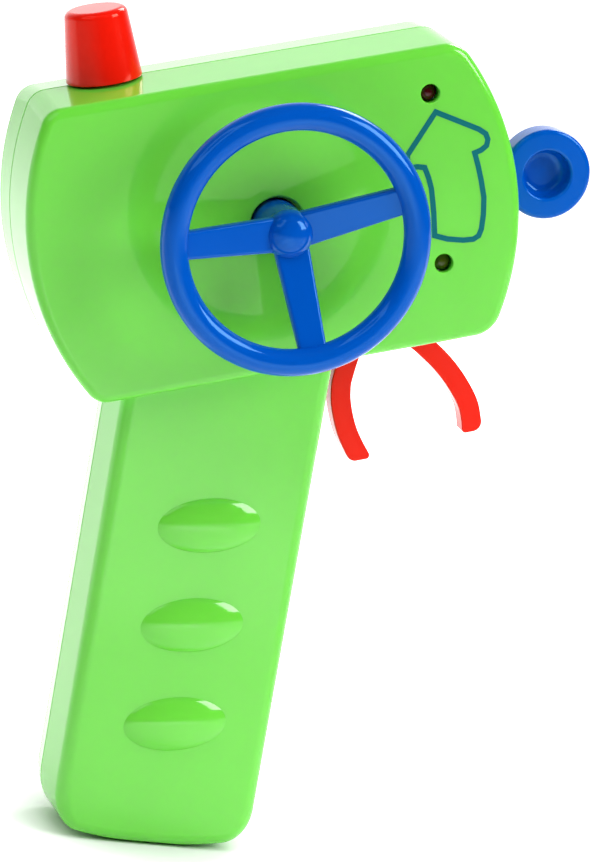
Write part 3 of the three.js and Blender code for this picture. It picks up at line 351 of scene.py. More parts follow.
def smooth_line(points, per_span):
    """Points along a spline through the given 3D points."""
    pts = [Vector(p) for p in points]
    ends = [2 * pts[0] - pts[1], *pts, 2 * pts[-1] - pts[-2]]
    out = []
    for p0, p1, p2, p3 in zip(ends, ends[1:], ends[2:], ends[3:]):
        for t in (i / per_span for i in range(per_span)):
            out.append(0.5 * (
                2 * p1 + (p2 - p0) * t + (2 * p0 - 5 * p1 + 4 * p2 - p3) * t ** 2
                + (3 * p1 - p0 - 3 * p2 + p3) * t ** 3
            ))
    out.append(pts[-1])
    return out


def line_tangents(points):
    last = len(points) - 1
    return [(points[min(k + 1, last)] - points[max(k - 1, 0)]).normalized() for k in range(last + 1)]


def tube(points, radius, sides=12):
    """A round wire along a line of points, with slightly domed ends."""
    pts = [Vector(p) for p in points]
    tangents = line_tangents(pts)
    side = tangents[0].orthogonal().normalized()
    rings = []
    for i, (centre, along) in enumerate(zip(pts, tangents)):
        side = (side - side.dot(along) * along).normalized()
        across = along.cross(side)
        slices = [(0.0, 1.0)]
        if i == 0:
            slices = [(0.0, 0.7), (0.3, 1.0)]
        elif i == len(pts) - 1:
            slices = [(-0.3, 1.0), (0.0, 0.7)]
        for reach, size in slices:
            middle = centre + along * radius * reach
            rings.append([middle + u * side + v * across for u, v in circle(0, 0, radius * size, sides)()])
    return loft(rings)


def helix_points(radius, y0, y1, turns, start=0.0, end_radius=None, leg=0.0, steps=40):
    """A coil about Y; with a leg, it has a straight tangent leg at each end."""
    end_radius = end_radius or radius
    sweep = turns * 2 * math.pi

    def point(r, a, y, reach=0.0):
        return (r * math.cos(a) - reach * math.sin(a), y, r * math.sin(a) + reach * math.cos(a))

    coil = []
    for u in (i / (turns * steps) for i in range(turns * steps + 1)):
        coil.append(point(radius + (end_radius - radius) * u, start + sweep * u, y0 + (y1 - y0) * u))
    if not leg:
        return coil
    lead = [point(radius, start, y0, -leg * (1 - k / 4)) for k in range(4)]
    tail = [point(end_radius, start + sweep, y1, leg * (k + 1) / 4) for k in range(4)]
    return lead + coil + tail


# ---- Outlines of the case ----
def corner_arc(arc, z):
    """Where the circle of the head's corner at height z lies, and the angle where it meets the side."""
    cz = z - math.copysign(arc["corner"], z)
    reach = math.sqrt((arc["r"] - arc["corner"]) ** 2 - (cz - arc["cz"]) ** 2)
    cx = arc["cx"] - math.copysign(reach, arc["cx"])
    return (cx, cz), math.atan2(cz - arc["cz"], cx - arc["cx"])


def head_outline(grow, lift, corner_steps=14, side_steps=44):
    """The head's outline, grown all round, with its top and bottom edges lifted."""
    height = HEAD_HALF_HEIGHT + lift
    points = []
    for arc, z, start in ((RIGHT_ARC, -height, -math.pi / 2), (LEFT_ARC, height, math.pi / 2)):
        (first, a), (last, b) = corner_arc(arc, z), corner_arc(arc, -z)
        b = b + 2 * math.pi if b < a else b
        points += arc_points(*first, arc["corner"] + grow, start, a, corner_steps)
        points += arc_points(arc["cx"], arc["cz"], arc["r"] + grow, a, b, side_steps)[1:-1]
        points += arc_points(*last, arc["corner"] + grow, b, start + math.pi, corner_steps)
    return points


def grip_outline(side, base, corner_steps=16, belly_steps=8):
    """The grip's outline: a flat base, a belly that curves up, and a wide soft corner at each side."""
    sine, cosine, upward = math.sin(BELLY_ANGLE), math.cos(BELLY_ANGLE), math.pi / 2
    x = GRIP_HALF_WIDTH + side
    rise = BELLY_RADIUS * (1 - cosine) - base
    run = GRIP_FLAT_HALF + BELLY_RADIUS * sine
    centre = (GRIP_FLAT_HALF, BELLY_RADIUS - base)
    belly = arc_points(*centre, BELLY_RADIUS, -upward, BELLY_ANGLE - upward, belly_steps)[1:]

    def corner(radius, sign):
        arc = arc_points(0, 0, 1, BELLY_ANGLE, upward, corner_steps)[1:]
        return [
            (sign * (run + (x - run) * (s - sine) / (1 - sine)), rise + radius * (cosine - c) / cosine)
            for c, s in arc
        ]

    return [
        (-GRIP_FLAT_HALF, -base), (GRIP_FLAT_HALF, -base), *belly,
        *corner(GRIP_RIGHT_CORNER, 1), (x, GRIP_TOP_Z), (-x, GRIP_TOP_Z),
        *reversed(corner(GRIP_LEFT_CORNER, -1)), *[(-px, pz) for px, pz in reversed(belly)],
    ]


def stations(face_y, edge_y, fillet, draft, inset):
    """Depth stations (y, grow, lift) of half a shell, from its face to the seam."""
    out = math.copysign(1, face_y - edge_y)
    radius = max(fillet - inset, 0.4)
    rows = [
        (face_y - out * (inset + radius * c), -inset - radius * s, 0.0) for c, s in quarter(3 if inset else 10)
    ]
    if inset:
        return rows + [(edge_y, -inset, draft), (edge_y - out * 3, -inset, draft)]
    return rows + [(edge_y + out * SEAM_CHAMFER, 0.0, draft), (edge_y, -SEAM_CHAMFER, draft)]


def case_half(face_y, grip_y, edge_y, fillet, inset=0.0):
    """Head and grip as one solid, or their hollow when inset by the wall."""
    head = [
        at_depth(head_outline(grow, lift), y)
        for y, grow, lift in stations(face_y, edge_y, fillet, HEAD_DRAFT, inset)
    ]
    grip = [
        at_depth(grip_outline(grow + lift, min(grow, -inset)), y)
        for y, grow, lift in stations(grip_y, edge_y, GRIP_FILLET, GRIP_DRAFT, inset)
    ]
    return union(place(loft(head)), loft(grip))


def seam_lip():
    """The tongue inside the front half that locates the rear half."""
    root, tongue, end = 0.5 - WALL, -WALL - GAP, FRONT_EDGE_Y + 1.6
    inside, taper = tongue - 0.9, 0.8

    def ring(rows):
        head = loft([at_depth(head_outline(g, HEAD_DRAFT * taper), y) for y, g in rows])
        grip = loft([at_depth(grip_outline(g + GRIP_DRAFT * taper, g), y) for y, g in rows])
        return union(place(head), grip)

    outer = ring([(-1.0, root), (FRONT_EDGE_Y, root), (FRONT_EDGE_Y + 0.01, tongue), (end, tongue)])
    return cut(outer, ring([(-2.0, inside), (end + 1, inside)]))


# ---- Shells ----
def trigger_slot():
    low = -HEAD_HALF_HEIGHT
    return place(box(13.5, 42.5, TRIGGER_Y[0] - 0.6, TRIGGER_Y[1] + 0.6, low - 6, low + 6))


def aerial_neck_hole():
    return place(shift(upright(cylinder(5.0 + GAP, 0, 10)), AERIAL_X, SEAM_Y, HEAD_HALF_HEIGHT - 6))


def mouth(radius, y, at, depth, out=-1):
    """A small chamfer round a hole's mouth in a face at y that looks towards out."""
    wide = radius + depth + 0.5
    if out < 0:
        return cone(wide, radius, y - 0.5, y + depth, at, 48)
    return cone(radius, wide, y - depth, y + 0.5, at, 48)


def grip_bump(index):
    """A low oval dome: the top of an ellipsoid that is sunk well below the grip's face."""
    bump = ball(1.0, (0, 0, 0), (BUMP_HALF_LENGTH, BUMP_SINK + BUMP_DEPTH, BUMP_HALF_HEIGHT), 128)
    bump = cut(bump, box(-20, 20, 1.0 - BUMP_SINK, 20, -20, 20))
    moved(bump, Matrix.Rotation(-BUMP_TILT, 4, "Y"))
    return shift(bump, 1.0, GRIP_FRONT_Y + BUMP_SINK, BUMP_TOP_Z - index * BUMP_PITCH)


def front_shell():
    faces = (HEAD_FRONT_Y, GRIP_FRONT_Y, FRONT_EDGE_Y, HEAD_FRONT_FILLET)
    wall_y, grip_wall_y = HEAD_FRONT_Y + WALL - 0.5, GRIP_FRONT_Y + WALL - 0.5
    side_x = RIGHT_ARC["cx"] + RIGHT_ARC["r"]
    lip = cut(
        seam_lip(),
        place(box(10.5, 45.5, -3, 6, -HEAD_HALF_HEIGHT, -28)),
        *head_rods(BOSS_RADIUS + 0.5, FRONT_EDGE_Y - 1.2, 8, HEAD_BOSSES),
        *rods(BOSS_RADIUS + 0.5, FRONT_EDGE_Y - 1.2, 8, GRIP_BOSSES),
        place(shift(upright(cylinder(7.6, 0, 8)), AERIAL_X, SEAM_Y, 30)),
        box(-20.8, 20.8, -2, 6, 6, 93),
    )
    shell = cut(union(case_half(*faces), *[grip_bump(i) for i in range(3)]), case_half(*faces, WALL))
    shell = union(
        shell, lip, place(cylinder(COLLAR_RADIUS, wall_y, COLLAR_END_Y)),
        *head_rods(BOSS_RADIUS - 0.6, wall_y, FRONT_EDGE_Y - 1, HEAD_BOSSES),
        *rods(BOSS_RADIUS - 0.6, grip_wall_y, FRONT_EDGE_Y - 1, GRIP_BOSSES),
        *head_rods(PIVOT_BOSS, wall_y, TRIGGER_Y[0] - GAP, [TRIGGER_PIVOT]),
        *head_rods(PIVOT_BOSS, wall_y, TURBO_Y[0] - GAP, [TURBO_PIVOT]),
    )
    return cut(
        shell,
        *head_rods(PILOT_RADIUS, wall_y + 2, SEAM_Y, HEAD_BOSSES, 32),
        *rods(PILOT_RADIUS, grip_wall_y + 2, SEAM_Y, GRIP_BOSSES, 32),
        place(cylinder(WHEEL_HOLE_RADIUS, HEAD_FRONT_Y - 1, HEAD_FRONT_Y + WALL)),
        place(mouth(WHEEL_HOLE_RADIUS, HEAD_FRONT_Y, (0, 0), 0.35)),
        place(cylinder(COLUMN_RADIUS + GAP, HEAD_FRONT_Y, COLLAR_END_Y + 1)),
        *head_rods(LED_HOLE_RADIUS, HEAD_FRONT_Y - 1, wall_y + 1, (RED_LED, GREEN_LED), 48),
        *[place(mouth(LED_HOLE_RADIUS, HEAD_FRONT_Y, at, 0.22)) for at in (RED_LED, GREEN_LED)],
        *head_rods(PIVOT_BORE, wall_y + 2, SEAM_Y, (TRIGGER_PIVOT, TURBO_PIVOT), 32),
        trigger_slot(),
        place(box(side_x - 8, side_x + 8, TURBO_Y[0] - 0.3, FRONT_EDGE_Y + 1,
                  TURBO_PIVOT[1] - 7.3, TURBO_PIVOT[1] + 7.3)),
        aerial_neck_hole(),
    )


def battery_bay():
    outer = box(-BAY["x"] - BAY_WALL, BAY["x"] + BAY_WALL, BAY["y0"] - BAY_WALL, DOOR["y0"] + 0.4,
                BAY["z0"] - BAY_WALL, BAY["z1"] + BAY_WALL)
    rim = box(-DOOR["x"] - BAY_WALL, DOOR["x"] + BAY_WALL, DOOR_LEDGE_Y - 2, DOOR["y0"] + 0.4,
              DOOR["z0"] - BAY_WALL, DOOR["z1"] + BAY_WALL)
    return union(outer, rim, cylinder(3.6, 0, DOOR_LEDGE_Y - 1, (0, DOOR_SCREW_Z)))


def battery_bay_hollow():
    cells = pad(rounded_rect(-BAY["x"], BAY["x"], BAY["z0"], BAY["z1"], 0.8), BAY["y0"], GRIP_REAR_Y, 0.8)
    seat = pad(rounded_rect(-DOOR["x"] - GAP, DOOR["x"] + GAP, DOOR["z0"] - GAP, DOOR["z1"] + GAP, 1.2),
               DOOR["y0"] - GAP, GRIP_REAR_Y + 1)
    wire_holes = [
        shift(upright(cylinder(1.4, -2, 4, (0, 0), 32)), x, CELL_Y - 4.4, BAY["z1"])
        for x in (-CELL_X, CELL_X)
    ]
    return union(
        cells, seat, cylinder(5, DOOR_LEDGE_Y, GRIP_REAR_Y, (0, DOOR_SCREW_Z)),
        cylinder(PILOT_RADIUS, 1.5, DOOR["y0"], (0, DOOR_SCREW_Z), 32), *wire_holes,
    )


def rear_shell():
    faces = (HEAD_REAR_Y, GRIP_REAR_Y, REAR_EDGE_Y, HEAD_REAR_FILLET)
    wall_y = HEAD_REAR_Y - WALL
    shell = union(
        cut(case_half(*faces), case_half(*faces, WALL)), battery_bay(),
        *head_rods(BOSS_RADIUS, REAR_EDGE_Y, wall_y + 1, HEAD_BOSSES),
        *rods(BOSS_RADIUS, REAR_EDGE_Y, GRIP_REAR_Y - WALL + 1, GRIP_BOSSES),
        *head_rods(PIVOT_BOSS, TRIGGER_Y[1] + GAP, wall_y + 1, [TRIGGER_PIVOT]),
        *head_rods(PIVOT_BOSS, TURBO_Y[1] + GAP, wall_y + 1, [TURBO_PIVOT]),
        *head_rods(2.6, BOARD["y1"] + GAP, wall_y + 1, BOARD_POSTS, 32),
    )
    return cut(
        shell, battery_bay_hollow(),
        *head_rods(SCREW_HOLE_RADIUS, HEAD_SEAT_Y, HEAD_REAR_Y + 1, HEAD_BOSSES, 48),
        *[place(mouth(SCREW_HOLE_RADIUS, HEAD_REAR_Y, at, 0.3, 1)) for at in HEAD_BOSSES],
        *head_rods(PILOT_RADIUS, REAR_EDGE_Y - 1, HEAD_SEAT_Y + 1, HEAD_BOSSES, 32),
        *rods(SCREW_HOLE_RADIUS, GRIP_SEAT_Y, GRIP_REAR_Y + 1, GRIP_BOSSES, 48),
        *[mouth(SCREW_HOLE_RADIUS, GRIP_REAR_Y, at, 0.3, 1) for at in GRIP_BOSSES],
        *rods(PILOT_RADIUS, REAR_EDGE_Y - 1, GRIP_SEAT_Y + 1, GRIP_BOSSES, 32),
        *head_rods(1.3, BOARD["y1"], wall_y, BOARD_POSTS, 32),
        *head_rods(PIVOT_BORE, -2, wall_y - 2, (TRIGGER_PIVOT, TURBO_PIVOT), 32),
        trigger_slot(), aerial_neck_hole(),
    )


# ---- Moving parts and fittings ----
def spoke(angle):
    """A spoke from the hub to the rim, well rounded in front and crisp behind."""
    half, soft, crisp, rows = 1.3, 0.95, 0.25, 12
    root_y, (wide, narrow) = HUB_Y + 0.6, SPOKE_WIDTH
    rings = []
    for u in (i / rows for i in range(rows + 1)):
        w, y = (wide + (narrow - wide) * u) / 2, root_y + (RIM_Y - root_y) * u
        rings.append([
            (RIM_RADIUS * u, py, pz)
            for cz, cy, r, start in (
                (w - crisp, y + half - crisp, crisp, 0), (crisp - w, y + half - crisp, crisp, 90),
                (soft - w, y - half + soft, soft, 180), (w - soft, y - half + soft, soft, 270),
            )
            for pz, py in arc_points(cz, cy, r, math.radians(start), math.radians(start + 90), 6)
        ])
    return turned(loft(rings), angle)


def steering_wheel():
    wheel = union(
        ring_torus(RIM_RADIUS, RIM_TUBE, RIM_Y), spoke(-90), spoke(-90 + SPOKE_SIDE), spoke(-90 - SPOKE_SIDE),
        ball(HUB_RADIUS, (0, HUB_Y, 0), (1.0, 0.82, 1.0), 80),
        cylinder(COLUMN_RADIUS, HUB_Y, COLUMN_END_Y), cylinder(3.0, COLUMN_END_Y - 1, SPIGOT_END_Y),
    )
    wheel = cut(wheel, cylinder(PILOT_RADIUS, -16, SPIGOT_END_Y + 1, (0, 0), 32))
    return place(turned(wheel, WHEEL_REST))


def steering_crank():
    crank = union(
        cylinder(11, COLLAR_END_Y + GAP, -6.2, edge1=0.4), cylinder(6, -7.2, 1.6, edge1=0.3),
        box(-3, 3, COLLAR_END_Y + GAP, -6.2, 0, 14.4), soft_box(-1.2, 1.2, -14, -6.2, 12.6, 14.4, 0.2, 0.2),
    )
    crank = cut(
        crank, cylinder(3.0 + GAP, COLLAR_END_Y + GAP - 1, SPIGOT_END_Y + GAP),
        cylinder(PILOT_RADIUS, SPIGOT_END_Y, 2.6, (0, 0), 32),
    )
    return place(turned(crank, WHEEL_REST))


def steering_wiper():
    y0, y1 = 1.9, 2.4

    def finger(angle):
        arm = box(-1.2, 1.2, y0, y1, -10.5, -4)
        return turned(union(arm, box(-1.2, 1.2, y0, BOARD["y0"] - GAP, -10.5, -9.9)), angle)

    disc = union(cylinder(6, y0, y1), finger(35), finger(-35))
    return place(turned(cut(disc, cylinder(PILOT_RADIUS, y0 - 1, y1 + 1, (0, 0), 32)), WHEEL_REST))


def band_outline(points, width, tips):
    """Outline of a band of even width along a line, both ends cut level with rounded corners.

    Each tip is (level, outer corner radius, inner corner radius); outline(inset) narrows the band all round.
    """
    line = smooth_line([(x, 0, z) for x, z in points], 10)
    lengths = [0.0]
    for a, b in zip(line, line[1:]):
        lengths.append(lengths[-1] + (b - a).length)
    total = lengths[-1]
    tangents = line_tangents(line)

    def at(distance):
        k = 0
        while k < len(line) - 2 and distance > lengths[k + 1]:
            k += 1
        t = (distance - lengths[k]) / (lengths[k + 1] - lengths[k])
        return line[k].lerp(line[k + 1], t), tangents[k].lerp(tangents[k + 1], t).normalized()

    def edge_point(distance, offset):
        centre, along = at(distance)
        return Vector((centre.x - along.z * offset, centre.z + along.x * offset))

    def corner(end, offset, inset):
        level, outer_radius, inner_radius = tips[end]
        radius = max((outer_radius if offset > 0 else inner_radius) - inset, 0.15)
        near, far = (0.0, 12.0) if end == 0 else (total, total - 12.0)
        for _ in range(30):
            middle = (near + far) / 2
            if edge_point(middle, offset).y < level + inset:
                near = middle
            else:
                far = middle
        tip = edge_point(far, offset)
        inward = (edge_point(far + (1.0 if end == 0 else -1.0), offset) - tip).normalized()
        across = Vector((1.0 if (offset > 0) == (end == 0) else -1.0, 0.0))
        angle = inward.angle(across)
        reach = radius / math.tan(angle / 2)
        centre = tip + (inward + across).normalized() * (radius / math.sin(angle / 2))
        start, stop = tip + across * reach - centre, tip + inward * reach - centre
        arc = [centre + start.lerp(stop, i / 6).normalized() * radius for i in range(7)]
        return arc, far + (reach if end == 0 else -reach)

    def outline(inset=0.0):
        sides = []
        for offset in (width / 2 - inset, inset - width / 2):
            first, d0 = corner(0, offset, inset)
            last, d1 = corner(1, offset, inset)
            body = [edge_point(d0 + (d1 - d0) * i / 72, offset) for i in range(1, 72)]
            sides.append([(p.x, p.y) for p in first + body + last[::-1]])
        return sides[0] + sides[1][::-1]

    return outline


def trigger():
    px, pz = TRIGGER_PIVOT
    y0, y1 = TRIGGER_Y
    arch = pad(band_outline(TRIGGER_LINE, TRIGGER_WIDTH, TRIGGER_TIPS), y0, y1, 0.4, 0.4, 4)
    web = plate([(px - 4.4, pz), (px - 6.2, -34.5), (px + 4.6, -34.5), (px + 4.4, pz)], y0 + 0.01, y1 - 0.01)
    body = union(
        arch, web, cylinder(PIVOT_HUB, y0, y1, TRIGGER_PIVOT, edge0=0.2, edge1=0.2),
        soft_box(px - 1.8, px + 1.8, y0, y1, pz, pz + 12.5),
    )
    return place(cut(body, cylinder(PIVOT_BORE, y0 - 1, y1 + 1, TRIGGER_PIVOT, 32)))


def turbo_lever():
    px, pz = TURBO_PIVOT
    dx, dz = TURBO_DISC
    y0, y1 = TURBO_Y
    arm_y0 = y0 + 0.6
    side = (RIGHT_ARC["cx"], RIGHT_ARC["cz"])
    walls = rods(RIGHT_ARC["r"] + 0.7, y0 - 1, y1 + 1, (side, side), 360)
    turned(walls[1], -TURBO_TRAVEL, TURBO_PIVOT)
    knob = cut(cylinder(TURBO_DISC_RADIUS, y0, y1, TURBO_DISC, 96, 1.2, 0.6), *walls)
    arm = plate([(px, pz + 3.4), (px, pz - 3.4), (dx - 2, dz - 3.4), (dx - 2, dz + 3.4)], arm_y0, y1)
    lever = union(
        knob, arm, soft_box(px - 10, px, arm_y0, y1, pz - 1.8, pz + 1.8),
        cylinder(PIVOT_HUB, arm_y0, y1, TURBO_PIVOT, edge0=0.2, edge1=0.2),
    )
    cup = cylinder(TURBO_RECESS_RADIUS, y0 - 1, TURBO_FLOOR_Y, TURBO_DISC, 96, 0, 2.6)
    mouth_circle = circle(dx, dz, TURBO_RECESS_RADIUS, 96)
    levels = [(y0 - 0.5, TURBO_LIP)] + [(y0 + TURBO_LIP * c, TURBO_LIP * s) for c, s in quarter(8)]
    lip = loft([at_depth(mouth_circle(-reach), y) for y, reach in levels])
    return place(cut(lever, cup, lip, cylinder(PIVOT_BORE, y0 - 1, y1 + 1, TURBO_PIVOT, 32)))


def aerial_cap():
    edge, base, top, rows = 1.8, 9.4, 7.8, 10
    profile = [(0, -6.05), (7.0, -6.05), (7.0, -4.65), (5.0, -4.65), (5.0, 0.0), (9.1, 0.0), (9.32, 0.08)]
    for u in (i / rows for i in range(rows + 1)):
        profile.append((base + (top - base) * u, 0.3 + (AERIAL_HEIGHT - edge - 0.3) * u))
    profile += [(top - edge * c, AERIAL_HEIGHT - edge * s) for c, s in quarter(10)[1:]] + [(0, AERIAL_HEIGHT)]
    cap = cut(lathe(profile, 128), cylinder(3.8, -7.65, AERIAL_HEIGHT - 3, (0, 0), 48))
    return place(shift(upright(cap), AERIAL_X, SEAM_Y, AERIAL_BASE_Z))


def screw(at, seat_y, tip_y, head=2.7, shank=1.3):
    """A cross-head tapping screw that points towards -Y, with its thread."""
    y0 = seat_y + GAP
    top = y0 + 1.8
    pitch, core, edge = 0.9, shank * 0.8, 0.8
    y = tip_y + 1.4
    profile = [(0, tip_y), (0.3, tip_y + 0.05), (core, y)]
    while y + pitch < y0 - 0.4:
        profile += [(core, y + 0.1), (shank, y + 0.35), (core, y + 0.6)]
        y += pitch
    profile += [(core, y0), (head - 0.1, y0), (head, y0 + 0.15)]
    profile += [(head - edge * c, top - edge * s) for c, s in quarter(6)] + [(0, top)]
    body = lathe(profile, 40)
    blade, half = head - 1, 0.4
    slots = [box(-x, x, top - 0.9, top + 1, -z, z) for x, z in ((blade, half), (half, blade))]
    return shift(cut(body, *slots), at[0], 0, at[1])


def battery_door():
    x, y0, z0, z1 = DOOR["x"], DOOR["y0"], DOOR["z0"], DOOR["z1"]
    at = (0, DOOR_SCREW_Z)
    door = union(
        pad(rounded_rect(-x, x, z0, z1, 1.0), y0, GRIP_REAR_Y, 0, 0.35),
        cylinder(4.4, DOOR_LEDGE_Y + GAP, y0 + 0.5, at),
    )
    grooves = [
        pad(rounded_rect(-9, 9, z, z + 1.4, 0.69), GRIP_REAR_Y - 0.7, GRIP_REAR_Y + 1, 0.3)
        for z in (z0 + 6 + i * 3.2 for i in range(5))
    ]
    return cut(
        door, cylinder(3.1, y0 - 0.6, GRIP_REAR_Y + 1, at, 48), mouth(3.1, GRIP_REAR_Y, at, 0.25, 1),
        cylinder(PILOT_RADIUS, DOOR_LEDGE_Y - 1, y0, at, 32), *grooves,
    )


def led(at):
    r, flange_y = LED_RADIUS, LED_FLANGE_Y
    profile = [(0, LED_TIP_Y)] + [(r * (1 - s), LED_TIP_Y + r * c) for c, s in quarter(12)[1:]]
    profile += [(r, flange_y), (r + 0.4, flange_y), (r + 0.4, flange_y + 1), (0, flange_y + 1)]
    return place(shift(lathe(profile, 48), at[0], 0, at[1]))


def led_leads(at):
    half = 0.25
    return place(joined_parts(*[
        box(x - half, x + half, LED_FLANGE_Y + 1.0, BOARD["y0"] - GAP, at[1] - half, at[1] + half)
        for x in (at[0] - 1.27, at[0] + 1.27)
    ]))


def joined_parts(first, *rest):
    """One mesh of several separate bodies."""
    bm = bmesh.new()
    for obj in (first, *rest):
        bm.from_mesh(obj.data)
    bm.to_mesh(first.data)
    bm.free()
    for obj in rest:
        discard(obj)
    return first


def battery_cell(x, z0, nub_up):
    r, h = CELL_RADIUS, CELL_BODY
    profile = [
        (0, 0.0), (5.2, 0.0), (5.4, 0.15), (6.5, 0.2), (6.9, 0.25), (r, 0.7), (r, h - CELL_BAND), (r, h - 0.8),
        (6.9, h - 0.25), (6.2, h - 0.1), (5.6, h - 0.5), (4.0, h - 0.5), (3.6, h - 0.1), (2.75, h),
        (2.75, h + CELL_NUB - 0.3), (2.45, h + CELL_NUB), (0, h + CELL_NUB),
    ]
    body = upright(lathe(profile))
    if not nub_up:
        moved(body, Matrix.Translation((0, 0, h + CELL_NUB)) @ Matrix.Rotation(math.pi, 4, "X"))
    return shift(body, x, CELL_Y, z0)


def contact_spring(x, plate_z, tip_z):
    spring = upright(tube(helix_points(4.6, 0, abs(tip_z - plate_z), 3, end_radius=2.2), 0.4))
    if tip_z < plate_z:
        moved(spring, Matrix.Rotation(math.pi, 4, "X"))
    return shift(spring, x, CELL_Y, plate_z)


def contact_plate(first, last, z0):
    """A level plate at z0 over the ends of the cells between two places in X."""
    half = CONTACT_HALF
    flat = pad(rounded_rect(first - half, last + half, CELL_Y - half, CELL_Y + half, 1.0), 0, 0.5, 0.1, 0.1, 2)
    moved(flat, Matrix(((1, 0, 0, 0), (0, 0, 1, 0), (0, 1, 0, z0), (0, 0, 0, 1))))
    flat.data.flip_normals()
    return flat


def torsion_spring(at, radius, y0, y1, start, leg):
    points = helix_points(radius, y0, y1, 3, math.radians(start), leg=leg)
    return place(shift(tube(points, 0.4), at[0], 0, at[1]))


def supply_wire(x, lift, end_x):
    y = CELL_Y - 4.4
    points = [
        (x, y, BAY["z1"] + GAP / 2), (x, y, BAY["z1"] + 8), (x * 1.25, y + 1, 102), (x * 0.9, 1 + lift, 126),
        head_point(end_x, 3, -19), head_point(end_x, BOARD["y0"] - GAP - 0.7, -16),
    ]
    return tube(smooth_line(points, 12), 0.7, 16)


def arrow_mark():
    """A printed outline of an upward arrow: a thin ribbon that lies on the head's face."""
    path = [
        (42.6, 21.1), (53.0, 15.0), (54.6, 13.6), (55.0, 12.1), (54.5, 10.6), (53.0, 9.7), (51.3, 9.3),
        (51.8, 6.0), (52.2, 2.0), (52.4, -2.2), (51.8, -6.5), (50.9, -10.0), (50.0, -11.6), (48.6, -12.2),
        (46.0, -12.0), (42.0, -11.0), (38.9, -9.6), (39.3, -4.0), (39.4, 2.1), (39.0, 5.0), (38.3, 7.8),
        (36.6, 8.3), (34.9, 8.4), (34.1, 9.4), (34.3, 11.6),
    ]
    half, y0, y1 = 0.68, HEAD_FRONT_Y - 0.05, HEAD_FRONT_Y + 0.2
    path = [Vector(p) for p in path]
    rings = []
    for before, here, after in zip(path[-1:] + path, path, path[1:] + path[:1]):
        n0, n1 = [Vector((a.y - b.y, b.x - a.x)).normalized() for a, b in ((before, here), (here, after))]
        mitre = (n0 + n1).normalized()
        reach = mitre * (half / max(mitre.dot(n0), 0.45))
        p, q = here - reach, here + reach
        rings.append([(p.x, y0, p.y), (q.x, y0, q.y), (q.x, y1, q.y), (p.x, y1, p.y)])
    return place(loft(rings, joined=True))


# ---- Materials ----
def linear(r, g, b):
    def one(v):
        v /= 255
        return v / 12.92 if v <= 0.04045 else ((v + 0.055) / 1.055) ** 2.4
    return (one(r), one(g), one(b), 1.0)


def shaded(colour, factor):
    return tuple(min(c * factor, 1.0) for c in colour[:3]) + (1.0,)


class Nodes:
    """Builds a node tree. A value may be a number, a colour or another node's output."""

    def __init__(self, owner):
        owner.use_nodes = True
        self.tree = owner.node_tree
        self.tree.nodes.clear()

    def feed(self, socket, value):
        if hasattr(value, "is_linked"):
            self.tree.links.new(value, socket)
        else:
            socket.default_value = value

    def fill(self, node, values):
        """Feeds the sockets that the values name, with _ for a space; other names are properties."""
        for key, value in values.items():
            if key.replace("_", " ") in node.inputs:
                self.feed(node.inputs[key.replace("_", " ")], value)
            else:
                setattr(node, key, value)

    def node(self, kind, **values):
        n = self.tree.nodes.new(kind)
        self.fill(n, values)
        return n

    def spread(self, value, low, high, from_low=0.3, from_high=0.7, **more):
        return self.node(
            "ShaderNodeMapRange", Value=value, From_Min=from_low, From_Max=from_high, To_Min=low, To_Max=high,
            **more,
        ).outputs["Result"]

    def math(self, operation, a, b=0.0):
        n = self.node("ShaderNodeMath", operation=operation)
        self.feed(n.inputs[0], a)
        self.feed(n.inputs[1], b)
        return n.outputs[0]

    def mix(self, factor, a, b, kind="RGBA"):
        """Mixes two colours, or two numbers when the kind is FLOAT."""
        n = self.node("ShaderNodeMix", data_type=kind)
        first, out = (6, 2) if kind == "RGBA" else (2, 0)
        for k, value in ((0, factor), (first, a), (first + 1, b)):
            self.feed(n.inputs[k], value)
        return n.outputs[out]


class Surface(Nodes):
    """A material with one Principled shader, in object coordinates."""

    def __init__(self, name):
        self.mat = bpy.data.materials.new(name)
        super().__init__(self.mat)
        self.bsdf = self.node("ShaderNodeBsdfPrincipled")
        self.node("ShaderNodeOutputMaterial", Surface=self.bsdf.outputs[0])
        self.coords = self.node("ShaderNodeTexCoord").outputs["Object"]

    def noise(self, scale, detail=3.0, roughness=0.5, stretch=(1, 1, 1)):
        vector = self.node("ShaderNodeMapping", Scale=stretch, Vector=self.coords).outputs[0]
        return self.node(
            "ShaderNodeTexNoise", Scale=scale, Detail=detail, Roughness=roughness, Vector=vector,
        ).outputs["Fac"]

    def speckle(self, a, b, *noise):
        """A colour that wanders between a and b with a noise."""
        return self.mix(self.spread(self.noise(*noise), 0, 1), a, b)

    def bump(self, height, strength, distance):
        n = self.node("ShaderNodeBump", Strength=strength, Distance=distance, Height=height)
        self.set(Normal=n.outputs[0])

    def set(self, **values):
        self.fill(self.bsdf, values)


def plastic(name, colour, rough=(0.09, 0.16), vary=0.05, subsurface=0.0, tint=(1, 1, 1)):
    """Moulded glossy plastic: faint flow variation in colour and gloss, and a fine ripple."""
    m = Surface(name)
    dark, light = shaded(colour, 1 - vary), shaded(colour, 1 + vary * 0.6)
    height = m.math("ADD", m.noise(70, 2, 0.4), m.math("MULTIPLY", m.noise(900, 2, 0.5), 0.12))
    m.bump(height, 0.12, 0.0004)
    m.set(
        Base_Color=m.speckle(dark, light, 26, 3, 0.5, (1, 1, 0.55)),
        Roughness=m.spread(m.noise(180, 4, 0.6), *rough), IOR=1.56, Specular_Tint=(*tint, 1),
    )
    if subsurface:
        m.set(Subsurface_Weight=subsurface, Subsurface_Scale=0.003, Subsurface_Radius=(0.5, 1.0, 0.3))
    return m.mat


